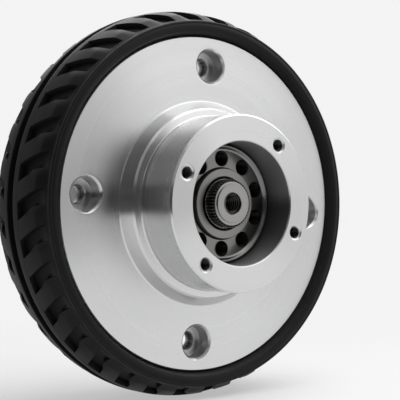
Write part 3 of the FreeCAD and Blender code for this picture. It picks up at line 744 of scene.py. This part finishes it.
def sun_outline(teeth, columns, module=1.0, pressure=20.0, thinning=0.1):
    """Angles and radii round a gear: root arc, involute flank, tip arc, flank, for each tooth.

    A flank at radius r stands half + inv(a) - inv(arccos(base / r)) from the tooth's middle.
    """
    pitch_r = 0.5 * module * teeth
    alpha = math.radians(pressure)
    base = pitch_r * math.cos(alpha)
    half = (0.5 * math.pi * module - thinning) / (2.0 * pitch_r)
    tip = pitch_r + module
    root = pitch_r - 1.25 * module
    each = columns // teeth
    flank = np.linspace(base + 0.002, tip, each // 2 - 4)
    spread = np.arccos(np.clip(base / flank, -1.0, 1.0))
    stand = half + math.tan(alpha) - alpha - (np.tan(spread) - spread)
    valley = math.pi / teeth
    up_angle = np.concatenate([[-valley, -0.5 * (valley + stand[0]), -stand[0]], -stand, [0.0]])
    up_radius = np.concatenate([[root, root, root], flank, [tip]])
    tooth_angle = np.concatenate([up_angle, -up_angle[-2:0:-1]])
    tooth_radius = np.concatenate([up_radius, up_radius[-2:0:-1]])
    middles = np.array(places(UP, teeth))
    return (middles[:, None] + tooth_angle).ravel(), np.tile(tooth_radius, teeth)


def make_shaft(s):
    """Shaft as rows round the axle; the radius of serrations and sun gear changes with the angle."""
    gear_angle, gear_radius = sun_outline(s.sun_teeth, 360)
    columns = len(gear_angle)
    theta = gear_angle[0] + TAU * np.arange(columns) / columns
    skin = Skin()
    tip = s.tip
    mouth = 4.4
    depth = 0.62
    radius, y = thread_rows(s.tap_core, tip + 0.25, tip + 15.0, columns, depth=depth, pitch=1.25)
    radius, y = join_rows(hole_rows([(0.0, tip + 17.0), (s.tap_core, tip + 15.4)], columns),
                          (radius[::-1], y[::-1]),
                          hole_rows([(mouth - 0.32, tip + 0.18), (mouth - 0.2, tip + 0.06),
                                     (mouth - 0.15, tip + 0.02), (mouth, tip)], columns))
    # Painted shade in the tapped hole from just inside its mouth, with a painted highlight on the thread's
    # crests.
    crest = (radius.max(axis=1, keepdims=True) - radius) / depth
    deep = np.clip((y - tip - 0.03) / 0.2, 0.0, 1.0)[:, None] * (1.0 - 0.4 * crest ** 8)
    skin.add(around(radius, y[:, None], theta[None]), recess=deep)

    collar = tip + 0.57
    last = s.serration_end
    foot = s.root_radius - 0.5
    nose = rounded([(mouth, tip, 0.0), (s.tip_radius, tip, 0.12), (s.tip_radius, collar, 0.05),
                    (s.collar_radius, collar, 0.0)], steps=4)
    skin.add(lathe(nose, theta))
    teeth = serration(s, theta)
    lead = np.array([0.0, 0.06, 0.14, 0.25, 0.36, 0.45, 0.55])
    cone = s.collar_radius + (s.crest_radius - s.collar_radius) * lead / 0.45
    rows = np.minimum(teeth[None, :], cone[:, None])
    rows = np.vstack([rows, teeth, teeth, np.full(columns, foot)])
    along = np.concatenate([collar + lead, [0.5 * (collar + last), last, last]])
    # Painted shade on the serrations: heavy in the roots, light on the crests, heavy on the lead-in cone,
    # none on the first row at the collar.
    valley = (s.crest_radius - teeth) / (s.crest_radius - s.root_radius)
    painted_lead_shade = np.append(np.interp(lead, [0.06, 0.3, 0.55], [0.7, 0.7, 0.0]), [0.0, 0.0, 0.0])
    shade = 0.1 + 0.9 * valley[None] + painted_lead_shade[:, None]
    shade[0] = 0.0
    skin.add(around(rows, along[:, None], theta[None]), recess=np.minimum(shade, 1.0))

    core = rounded([(foot, last, 0.0), (s.base_radius, last, 0.15), (s.base_radius, s.clip_front, 0.05),
                    (s.clip_radius, s.clip_front, 0.05), (s.clip_radius, s.clip_back, 0.05),
                    (s.body_radius, s.clip_back, 0.1), (s.body_radius, s.stop_front, 0.1),
                    (s.stop_radius, s.stop_front, 0.15), (s.stop_radius, s.stop_back, 0.15),
                    (s.neck_radius, s.stop_back, 0.2), (s.neck_radius, s.gear_front, 0.0)])
    skin.add(lathe(core, theta))
    sun = np.stack([np.full(columns, s.neck_radius), gear_radius, gear_radius, np.zeros(columns)])
    turned = np.stack([theta, gear_angle, gear_angle, gear_angle])
    along = np.array([s.gear_front, s.gear_front, s.end, s.end])
    skin.add(around(sun, along[:, None], turned))
    return skin.build("serrated_shaft", "input", "shaft_steel", crease=28.0, nodes=("input_shaft",))


# Rear cover and its screws

def make_cover(s):
    """Cover as profiles turned about the axle and a holed ring on each side, a degree and a half apart."""
    theta = angle_grid(240)
    skin = Skin()
    screws = places(s.screw_turn, s.screws)
    middle = 0.5 * (s.front + s.back)
    ring_in = s.spigot + 0.6
    ring_out = s.radius - 1.0
    hole = s.hole_radius

    def face_wall(columns):
        y = s.back
        return hole_rows([(hole + 0.25, y), (hole + 0.2, y - 0.05), (hole, y - 0.3), (hole, middle)],
                         columns)

    def seat_wall(columns):
        return hole_rows([(hole, s.front), (hole, middle)], columns)

    # Painted shade in the screw holes on both faces of the cover.
    holed_ring(skin, theta, s.back, ring_in, ring_out, s.screw_circle, screws, half=10, wall=face_wall)
    holed_ring(skin, theta, s.front, ring_in, ring_out, s.screw_circle, screws, half=10, wall=seat_wall)
    edge = rounded([(ring_out, s.front, 0.0), (s.radius, s.front, 0.15), (s.radius, s.back - s.edge, 0.15),
                    (s.radius - s.edge, s.back, 0.1), (ring_out, s.back, 0.0)])
    skin.add(lathe(edge, theta))
    skin.add(lathe([(ring_in, s.back), (0.0, s.back)], theta))
    low = s.spigot_end
    sealed = s.spigot - 1.3
    seat = rounded([(ring_in, s.front, 0.0), (s.spigot, s.front, 0.1), (s.spigot, low + 2.3, 0.05),
                    (sealed, low + 2.3, 0.05), (sealed, low + 0.7, 0.05), (s.spigot, low + 0.7, 0.05),
                    (s.spigot, low, 0.1), (s.spigot_inside, low, 0.1), (s.spigot_inside, s.front, 0.2),
                    (0.0, s.front, 0.0)])
    skin.add(lathe(seat, theta))
    return skin.build("cover_turned", "wheel", "cover_aluminium", nodes=("rear_cover",))


def make_cover_screws(s):
    """Socket cap screws: rows of radius(angle) from the shank's end, over the head, into the socket."""
    columns = 96
    beta = angle_grid(columns)
    flat = 0.5 * s.socket
    hexagon = flat / np.cos((beta + TAU / 12) % (TAU / 6) - TAU / 12)
    shank = s.screw_radius
    core = shank - 0.3
    seat = s.back
    top = s.head_top
    head = s.head_radius
    knurl = head * (1.0 - 0.022 * (np.arange(columns) % 2))
    end = hole_rows([(0.0, seat - 12.8), (shank - 0.5, seat - 12.8), (core, seat - 12.4)], columns)
    thread = thread_rows(core, seat - 12.2, seat - 3.0, columns, depth=0.3, pitch=0.7, per_pitch=5)
    upper = hole_rows([(shank, seat - 2.6), (shank, seat), (head - 0.3, seat), (head - 0.05, seat + 0.2),
                       (head - 0.02, seat + 0.45), (knurl, seat + 0.6), (knurl, top - 0.75),
                       (head - 0.02, top - 0.6), (head - 0.1, top - 0.3), (head - 0.3, top - 0.1),
                       (head - 0.55, top), (flat + 0.55, top), (flat + 0.45, top - 0.02),
                       (hexagon, top - 0.3), (hexagon, top - 2.1), (0.5 * hexagon, top - 2.2),
                       (0.0, top - 2.3)], columns)
    radius, along = join_rows(end, thread, upper)
    skin = Skin()
    for k, place in enumerate(places(s.screw_turn, s.screws)):
        middle = around(s.screw_circle, 0.0, place)
        skin.add(around(radius, along[:, None], beta[None] + 0.7 * k) + middle)
    return skin.build("cover_cap_screws", "wheel", "black_screw", crease=40.0, nodes=("cover_screws",))


# Shader helpers

class Nodes:
    """A node tree, with short names for the steps that the materials here are made of."""

    def __init__(self, tree):
        self.tree = tree

    def put(self, kind, inputs=None, **props):
        """Add a node; an input's value is a constant, or a socket to link from."""
        node = self.tree.nodes.new(kind)
        for key, value in props.items():
            setattr(node, key, value)
        self.feed(node, inputs or {})
        return node

    def feed(self, node, inputs):
        for key, value in inputs.items():
            if isinstance(value, bpy.types.NodeSocket):
                self.tree.links.new(value, node.inputs[key])
            else:
                node.inputs[key].default_value = value

    def found(self, kind):
        return next(node for node in self.tree.nodes if node.type == kind)

    def maths(self, operation, a, b=0.0):
        return self.put("ShaderNodeMath", {0: a, 1: b}, operation=operation).outputs[0]

    def add(self, a, b):
        return self.maths("ADD", a, b)

    def less(self, a, b):
        return self.maths("SUBTRACT", a, b)

    def times(self, a, b):
        return self.maths("MULTIPLY", a, b)

    def larger(self, a, b):
        return self.maths("MAXIMUM", a, b)

    def swing(self, value, share):
        """A value from 0 to 1 as a swing about 0, share wide."""
        return self.times(self.less(value, 0.5), share)

    def vector(self, operation, a, b=(0.0, 0.0, 0.0)):
        return self.put("ShaderNodeVectorMath", {0: a, 1: b}, operation=operation)

    def place(self):
        return self.put("ShaderNodeTexCoord").outputs["Object"]

    def parts(self, vector):
        return self.put("ShaderNodeSeparateXYZ", {0: vector}).outputs

    def noise(self, dimensions="3D", **inputs):
        return self.put("ShaderNodeTexNoise", inputs, noise_dimensions=dimensions).outputs["Fac"]

    def ramp(self, value, low, high, first=0.0, last=1.0):
        """Smooth step from first, where the value is low, to last, where it is high."""
        return self.put("ShaderNodeMapRange", {"Value": value, "From Min": low, "From Max": high,
                                               "To Min": first, "To Max": last},
                        interpolation_type="SMOOTHSTEP").outputs[0]

    def seen(self):
        """1 for rays from the camera and for mirrored and passed-on rays, 0 for the rest."""
        path = self.put("ShaderNodeLightPath").outputs
        direct = self.larger(path["Is Camera Ray"], path["Is Glossy Ray"])
        return self.larger(direct, path["Is Transmission Ray"])


def new_material(name):
    """A new material, and its node tree."""
    material = bpy.data.materials.new(name)
    material.use_nodes = True
    return material, Nodes(material.node_tree)


def open_group(name, **inputs):
    """New shader group with named float inputs, and outputs for height, tone and roughness."""
    tree = bpy.data.node_groups.new(name, "ShaderNodeTree")
    for label, default in inputs.items():
        socket = tree.interface.new_socket(label, in_out="INPUT", socket_type="NodeSocketFloat")
        socket.default_value = default
    for label in ("Height", "Tone", "Roughness"):
        tree.interface.new_socket(label, in_out="OUTPUT", socket_type="NodeSocketFloat")
    nodes = Nodes(tree)
    return nodes, nodes.put("NodeGroupInput").outputs


def turning_marks_group():
    """Lathe marks about the axle: noise that is fine across the radius and slow round the angle."""
    n, given = open_group("Turning marks", Density=3000.0, Sweep=0.25, Tone=0.08, Rough=0.3, Spread=0.08)
    place = n.place()
    x, y, z = n.parts(place)
    radius = n.maths("SQRT", n.add(n.times(x, x), n.times(z, z)))
    safe = n.larger(radius, 0.0005)
    along = n.times(y, 0.3)
    cosine = n.times(n.maths("DIVIDE", x, safe), given["Sweep"])
    sine = n.times(n.maths("DIVIDE", z, safe), given["Sweep"])

    def lines(scale):
        density = n.times(given["Density"], scale)
        across = n.times(radius, density)
        line = n.put("ShaderNodeCombineXYZ", {0: across, 1: n.times(along, density), 2: cosine})
        return n.noise("4D", Vector=line.outputs[0], W=sine, Scale=1.0, Detail=0.0)

    fine = n.add(n.times(lines(1.0), 0.5), n.times(lines(2.3), 0.5))
    wide = lines(0.13)
    cloud = n.noise(Vector=place, Scale=60.0, Detail=3.0)
    mixed = n.add(n.times(fine, 0.55), n.times(wide, 0.45))
    haze = n.swing(cloud, n.times(given["Tone"], 0.5))
    tone = n.add(n.add(n.swing(mixed, given["Tone"]), haze), 1.0)
    rough = n.add(n.swing(wide, given["Spread"]), given["Rough"])
    n.put("NodeGroupOutput", {"Height": fine, "Tone": tone, "Roughness": rough})
    return n.tree


def grain_group():
    """Fine grain and slow clouds for moulded, blackened and sintered surfaces."""
    n, given = open_group("Grain", Scale=2500.0, Tone=0.3, Rough=0.5, Spread=0.15)
    place = n.place()
    fine = n.noise(Vector=place, Scale=given["Scale"], Detail=4.0, Roughness=0.65)
    cloud = n.noise(Vector=place, Scale=85.0, Detail=4.0)
    both = n.add(n.times(fine, 0.5), n.times(cloud, 0.5))
    tone = n.add(n.swing(both, given["Tone"]), 1.0)
    rough = n.add(n.swing(cloud, given["Spread"]), given["Rough"])
    n.put("NodeGroupOutput", {"Height": fine, "Tone": tone, "Roughness": rough})
    return n.tree


def finish_material(name, base, group, values, metallic, bump, anisotropy=0.0, specular=0.5, sheen=0.0):
    """Principled surface whose colour, roughness and bump come from one of the shared groups; the mesh's
    painted shade attribute darkens its colour and roughens it.
    """
    painted_shade_strength, duller = 0.97, 0.25
    material, n = new_material(name)
    surface = n.found("BSDF_PRINCIPLED")
    pattern = n.put("ShaderNodeGroup", node_tree=group)
    n.feed(pattern, values)
    tone, height, rough = (pattern.outputs[key] for key in ("Tone", "Height", "Roughness"))
    # Painted shade: the mesh's attribute darkens the colour where it is high.
    hole = n.put("ShaderNodeAttribute", attribute_name="recess").outputs["Fac"]
    shade = n.times(tone, n.less(1.0, n.times(hole, painted_shade_strength)))
    tint = n.vector("MULTIPLY", (*base,), shade)
    relief = n.put("ShaderNodeBump", {"Height": height, "Strength": bump[0], "Distance": bump[1]})
    n.feed(surface, {"Base Color": tint.outputs[0], "Roughness": n.add(rough, n.times(hole, duller)),
                     "Normal": relief.outputs["Normal"], "Metallic": metallic,
                     "Specular IOR Level": specular})
    if anisotropy:
        grooves = n.put("ShaderNodeTangent", direction_type="RADIAL", axis="Y")
        n.feed(surface, {"Anisotropic": anisotropy, "Anisotropic Rotation": 0.25,
                         "Tangent": grooves.outputs[0]})
    if sheen:
        n.feed(surface, {"Sheen Weight": sheen, "Sheen Roughness": 0.35})
    return material


def turned_metal(name, base, rough, density=3000.0, tone=0.10, spread=0.10, bump=(0.10, 0.00002),
                 anisotropy=0.0):
    """Metal with lathe marks in its colour, roughness and bump."""
    group = bpy.data.node_groups.get("Turning marks") or turning_marks_group()
    values = {"Density": density, "Tone": tone, "Rough": rough, "Spread": spread}
    return finish_material(name, base, group, values, 1.0, bump, anisotropy)


def grained(name, base, rough, metallic=0.0, scale=2500.0, tone=0.3, spread=0.15, bump=(0.2, 0.00005),
            specular=0.5, sheen=0.0):
    """Rubber, plastic, bronze or black steel with a grain in its colour, roughness and bump."""
    group = bpy.data.node_groups.get("Grain") or grain_group()
    values = {"Scale": scale, "Tone": tone, "Rough": rough, "Spread": spread}
    return finish_material(name, base, group, values, metallic, bump, specular=specular, sheen=sheen)


# For each material slot of the CAD model: pattern, name, colour setting, roughness and further values
FINISHES = {
    "tread_rubber": (grained, "Tread rubber", "rubber", 0.50,
                     {"scale": 1400.0, "tone": 0.5, "spread": 0.2, "bump": (0.2, 0.00006),
                      "specular": 0.20, "sheen": 0.03}),
    "turned_aluminium": (turned_metal, "Turned aluminium", "aluminium", 0.27,
                         {"density": 1400.0, "spread": 0.05, "bump": (0.045, 0.00002), "anisotropy": 0.87}),
    "cover_aluminium": (turned_metal, "Cover aluminium", "cover", 0.34, {"anisotropy": 0.5}),
    "dark_flange": (turned_metal, "Dark flange", "flange", 0.18, {"density": 2200.0, "tone": 0.25}),
    "bright_steel": (turned_metal, "Raised steel ring", "boss", 0.32,
                     {"density": 2600.0, "tone": 0.22, "spread": 0.15, "anisotropy": 0.4}),
    "shaft_steel": (turned_metal, "Shaft steel", "shaft", 0.22, {"density": 2600.0, "tone": 0.18}),
    "gear_steel": (turned_metal, "Gear steel", "gear", 0.30, {"tone": 0.15}),
    "bearing_steel": (turned_metal, "Bearing steel", "bearing", 0.18, {}),
    "spring_steel": (grained, "Spring steel", "black", 0.45, {"metallic": 0.7}),
    "black_screw": (grained, "Black steel", "black", 0.42, {"metallic": 0.8, "scale": 3000.0, "tone": 0.4}),
    "bronze": (grained, "Sintered bronze", "bronze", 0.42, {"metallic": 1.0, "scale": 3500.0, "tone": 0.35}),
    "seal_rubber": (grained, "Seal rubber", "seal", 0.6, {"scale": 2200.0}),
    "cage_plastic": (grained, "Cage plastic", "cage", 0.45, {"scale": 1800.0, "tone": 0.15}),
}


def finish(slot):
    """Material of a slot, made when it is first asked for."""
    pattern, name, base, rough, values = FINISHES[slot]
    colours = bpy.context.scene.wheel_finish
    return bpy.data.materials.get(name) or pattern(name, getattr(colours, base), rough, **values)


# Stage

def stage_piece(name, points, faces, material):
    """A mesh that belongs to the stage and not to the wheel."""
    mesh = bpy.data.meshes.new(name)
    mesh.from_pydata(points, [], faces)
    mesh.materials.append(material)
    piece = bpy.data.objects.new(name, mesh)
    bpy.context.scene.collection.objects.link(piece)
    return piece


def floor_material(s):
    """Pale floor: it shades near the wheel and fades into the backdrop's colour farther out."""
    material, n = new_material("Pale floor")
    surface = n.found("BSDF_PRINCIPLED")
    place = n.place()
    tone = n.add(n.swing(n.noise(Vector=place, Scale=30.0, Detail=3.0), 0.02), 1.0)
    tint = n.vector("MULTIPLY", (*s.floor,), tone)
    n.feed(surface, {"Base Color": tint.outputs[0], "Roughness": 0.6, "Specular IOR Level": 0.05})
    far = n.put("ShaderNodeEmission", {"Color": (*s.backdrop, 1.0), "Strength": 1.0})
    fade = n.ramp(n.vector("LENGTH", place).outputs["Value"], 0.05, 0.40, 0.5)
    share = n.times(fade, n.seen())
    both = n.put("ShaderNodeMixShader", {0: share, 1: surface.outputs[0], 2: far.outputs[0]})
    n.feed(n.found("OUTPUT_MATERIAL"), {"Surface": both.outputs[0]})
    return material


def card_material():
    """Glow of the studio card by its bearing from the front and its height.

    A pale card with a dark field at the left, brighter panels beside and above it, one narrow strip of
    light, and a dimmer part behind the wheel. Only mirrored rays see it, so this glow is painted reflection
    in the metal and lights nothing.
    """
    material, n = new_material("Studio card")
    n.tree.nodes.clear()
    pale = 0.9
    place = n.place()
    x, y, _ = n.parts(place)
    height = n.maths("ARCSINE", n.parts(n.vector("NORMALIZE", place).outputs[0])[2])
    side = n.maths("ARCTAN2", x, n.times(y, -1.0))

    lift = n.add(n.ramp(side, -1.3, -0.6, 0.55, 0.0), n.ramp(side, -0.15, 0.3, 0.0, -0.2))
    dark = n.ramp(n.less(height, lift), 0.70, 0.95, 1.0, 0.0)
    dark = n.times(dark, n.ramp(side, 0.24, 0.42, 1.0, 0.0))
    dark = n.times(dark, n.ramp(side, -2.05, -1.65))
    # Bands of painted reflection in the dark field.
    bands = n.noise("1D", W=n.times(height, 14.0), Scale=1.0, Detail=2.0)
    near = n.times(n.ramp(side, -1.1, -0.6), n.ramp(side, -0.3, 0.1, 1.0, 0.2))
    murk = n.times(near, n.ramp(height, 0.1, 0.5, 0.03, 0.17))
    murk = n.add(n.times(murk, n.add(bands, 0.5)), n.ramp(side, -0.3, 0.1, 0.05, 0.02))
    glow = n.less(pale, n.times(n.less(pale, murk), dark))

    behind = n.larger(n.ramp(side, 2.75, 3.0), n.ramp(side, -2.6, -2.3, 1.0, 0.0))
    behind = n.times(behind, n.ramp(height, 0.4, 0.8, 0.7, 0.0))
    glow = n.times(glow, n.less(1.0, behind))

    beside = n.add(n.ramp(side, 0.02, 0.32, 0.0, 0.38), n.ramp(side, 0.90, 1.40, 0.0, 1.7))
    beside = n.times(n.ramp(height, 0.2, 0.5), beside)
    above = n.times(n.ramp(height, 0.6, 0.95), n.ramp(side, -0.1, 0.3))
    strip = n.times(n.ramp(side, -0.98, -0.90), n.ramp(side, -0.84, -0.76, 1.0, 0.0))
    strip = n.times(strip, n.ramp(height, 0.22, 0.34))
    glow = n.add(glow, n.add(n.larger(beside, above), strip))
    light = n.put("ShaderNodeEmission", {"Color": (1.0, 1.0, 1.0, 1.0), "Strength": glow})
    n.put("ShaderNodeOutputMaterial", {"Surface": light.outputs[0]})
    return material


def studio_card(low):
    """Part of a sphere round the wheel: x = r cos(height) sin(side), y = -r cos(height) cos(side)."""
    reach = 0.45
    side = np.linspace(-math.pi, math.pi, 73)[:, None]
    height = np.linspace(math.asin(low / reach), 1.5, 25)[None, :]
    points = reach * np.stack([np.cos(height) * np.sin(side), -np.cos(height) * np.cos(side),
                               np.sin(height) + 0.0 * side], axis=-1)
    index = np.arange(points[..., 0].size).reshape(points.shape[:2])
    faces = np.stack([index[:-1, :-1], index[1:, :-1], index[1:, 1:], index[:-1, 1:]], axis=-1)
    card = stage_piece("studio_card", points.reshape(-1, 3).tolist(), faces.reshape(-1, 4).tolist(),
                       card_material())
    # Hidden from the camera, diffuse light and shadows: a glowing sheet that only paints the metal's
    # reflections.
    card.visible_camera = False
    card.visible_diffuse = False
    card.visible_shadow = False


def soft_light(place, aim, size, power):
    """Soft overhead light that lights the object and isn't mirrored in it."""
    light = bpy.data.lights.new("softbox", "AREA")
    light.shape = "RECTANGLE"
    light.size, light.size_y = size
    light.energy = power
    light.spread = math.pi
    lamp = bpy.data.objects.new("softbox", light)
    lamp.location = place
    lamp.rotation_euler = (Vector(aim) - Vector(place)).to_track_quat("-Z", "Y").to_euler()
    lamp.visible_glossy = False
    bpy.context.scene.collection.objects.link(lamp)


def studio_world(scene, s):
    """Weak dome of light; the backdrop's colour where the world is seen or mirrored."""
    world = bpy.data.worlds.new("Studio") if scene.world is None else scene.world
    scene.world = world
    world.use_nodes = True
    n = Nodes(world.node_tree)
    n.tree.nodes.clear()
    dome = n.put("ShaderNodeBackground", {"Color": (0.95, 0.97, 1.0, 1.0), "Strength": 0.25})
    sheet = n.put("ShaderNodeBackground", {"Color": (*s.backdrop, 1.0), "Strength": 1.0})
    both = n.put("ShaderNodeMixShader", {0: n.seen(), 1: dome.outputs[0], 2: sheet.outputs[0]})
    n.put("ShaderNodeOutputWorld", {"Surface": both.outputs[0]})


def set_camera(scene, s):
    """Camera at a distance and bearing from the disc's middle, then moved aside and up."""
    view = bpy.data.cameras.new("view")
    view.lens = s.lens
    view.sensor_width = 36.0
    view.clip_start = 0.01
    camera = bpy.data.objects.new("view", view)
    back = Vector((math.sin(s.azimuth) * math.cos(s.elevation), -math.cos(s.azimuth) * math.cos(s.elevation),
                   math.sin(s.elevation)))
    right = Vector((math.cos(s.azimuth), math.sin(s.azimuth), 0.0))
    up = right.cross(-back)
    target = Vector((0.0, scene.wheel_hub.disc, 0.0))
    place = target + (back * s.distance + right * s.aside + up * s.above) * MM
    turn = Matrix((right, up, back)).transposed().to_4x4()
    camera.matrix_world = Matrix.Translation(place) @ turn
    scene.collection.objects.link(camera)
    scene.camera = camera


def make_stage(scene, s):
    """Pale floor and backdrop, one soft light overhead, a card that the metal mirrors, and the camera."""
    low = CAD_BOX[0].z
    wide = 6.0
    corners = [(-wide, -wide, low), (wide, -wide, low), (wide, wide, low), (-wide, wide, low)]
    stage_piece("floor", corners, [(0, 1, 2, 3)], floor_material(s))
    studio_world(scene, s)
    soft_light(place=(0.28, -0.22, 0.82), aim=(0.0, 0.02, 0.0), size=(1.1, 1.0), power=16.0)
    studio_card(low)
    set_camera(scene, s)
    scene.view_settings.view_transform = "Standard"


# Operators

class WHEEL_OT_tyre(bpy.types.Operator):
    """Build the tyre with its grooved and slotted tread"""
    bl_idname = "wheel.tyre"
    bl_label = "Tyre"

    def execute(self, context):
        make_tyre(in_mm(context.scene.wheel_tyre))
        return {"FINISHED"}


class WHEEL_OT_hub(bpy.types.Operator):
    """Build the turned hub with its nose, collar, disc and gear case"""
    bl_idname = "wheel.hub"
    bl_label = "Hub"

    def execute(self, context):
        make_hub(in_mm(context.scene.wheel_hub), in_mm(context.scene.wheel_cover))
        return {"FINISHED"}


class WHEEL_OT_flange(bpy.types.Operator):
    """Build the fixed flange and the raised ring in its middle"""
    bl_idname = "wheel.flange"
    bl_label = "Flange and raised ring"

    def execute(self, context):
        settings = in_mm(context.scene.wheel_flange)
        make_flange(settings)
        make_boss(settings)
        return {"FINISHED"}


class WHEEL_OT_shaft(bpy.types.Operator):
    """Build the serrated input shaft with its tapped end and sun gear"""
    bl_idname = "wheel.shaft"
    bl_label = "Input shaft"

    def execute(self, context):
        make_shaft(in_mm(context.scene.wheel_shaft))
        return {"FINISHED"}


class WHEEL_OT_cover(bpy.types.Operator):
    """Build the rear cover and its cap screws"""
    bl_idname = "wheel.cover"
    bl_label = "Rear cover and screws"

    def execute(self, context):
        settings = in_mm(context.scene.wheel_cover)
        make_cover(settings)
        make_cover_screws(settings)
        return {"FINISHED"}


class WHEEL_OT_inside(bpy.types.Operator):
    """Give the gears, bearings, seals and clips of the CAD model their finishes"""
    bl_idname = "wheel.inside"
    bl_label = "Inner parts"

    def execute(self, context):
        slots = {row["node"]: row["material_slot"] for row in frame["record"]["subparts"]}
        for name, node in frame["nodes"].items():
            for place in node.material_slots:
                place.material = finish(slots[name])
            if not node.material_slots:
                node.data.materials.append(finish(slots[name]))
        return {"FINISHED"}


class WHEEL_OT_stage(bpy.types.Operator):
    """Set up the floor, the light and the camera"""
    bl_idname = "wheel.stage"
    bl_label = "Stage"

    def execute(self, context):
        make_stage(context.scene, in_mm(context.scene.wheel_stage))
        return {"FINISHED"}


class WHEEL_PT_panel(bpy.types.Panel):
    """Buttons and settings of the drive wheel"""
    bl_idname = "WHEEL_PT_panel"
    bl_label = "Drive wheel"
    bl_space_type = "VIEW_3D"
    bl_region_type = "UI"
    bl_category = "Drive wheel"

    def draw(self, context):
        for operator in OPERATORS:
            self.layout.operator(operator.bl_idname)
        for name in SETTINGS:
            box = self.layout.box()
            group = getattr(context.scene, name)
            for prop in group.bl_rna.properties:
                if prop.identifier not in ("rna_type", "name"):
                    box.prop(group, prop.identifier)


OPERATORS = (WHEEL_OT_tyre, WHEEL_OT_hub, WHEEL_OT_flange, WHEEL_OT_shaft, WHEEL_OT_cover, WHEEL_OT_inside,
             WHEEL_OT_stage)
SETTINGS = {"wheel_tyre": TyreSettings, "wheel_hub": HubSettings, "wheel_flange": FlangeSettings,
            "wheel_shaft": ShaftSettings, "wheel_cover": CoverSettings, "wheel_finish": FinishSettings,
            "wheel_stage": StageSettings}


def register():
    for group in SETTINGS.values():
        bpy.utils.register_class(group)
    for name, group in SETTINGS.items():
        setattr(bpy.types.Scene, name, PointerProperty(type=group))
    for operator in OPERATORS:
        bpy.utils.register_class(operator)
    bpy.utils.register_class(WHEEL_PT_panel)


def unregister():
    bpy.utils.unregister_class(WHEEL_PT_panel)
    for operator in reversed(OPERATORS):
        bpy.utils.unregister_class(operator)
    for name, group in SETTINGS.items():
        delattr(bpy.types.Scene, name)
        bpy.utils.unregister_class(group)


def main():
    register()
    bpy.ops.wheel.tyre()
    bpy.ops.wheel.hub()
    bpy.ops.wheel.flange()
    bpy.ops.wheel.shaft()
    bpy.ops.wheel.cover()
    bpy.ops.wheel.inside()
    bpy.ops.wheel.stage()


if __name__ == "__main__":
    main()
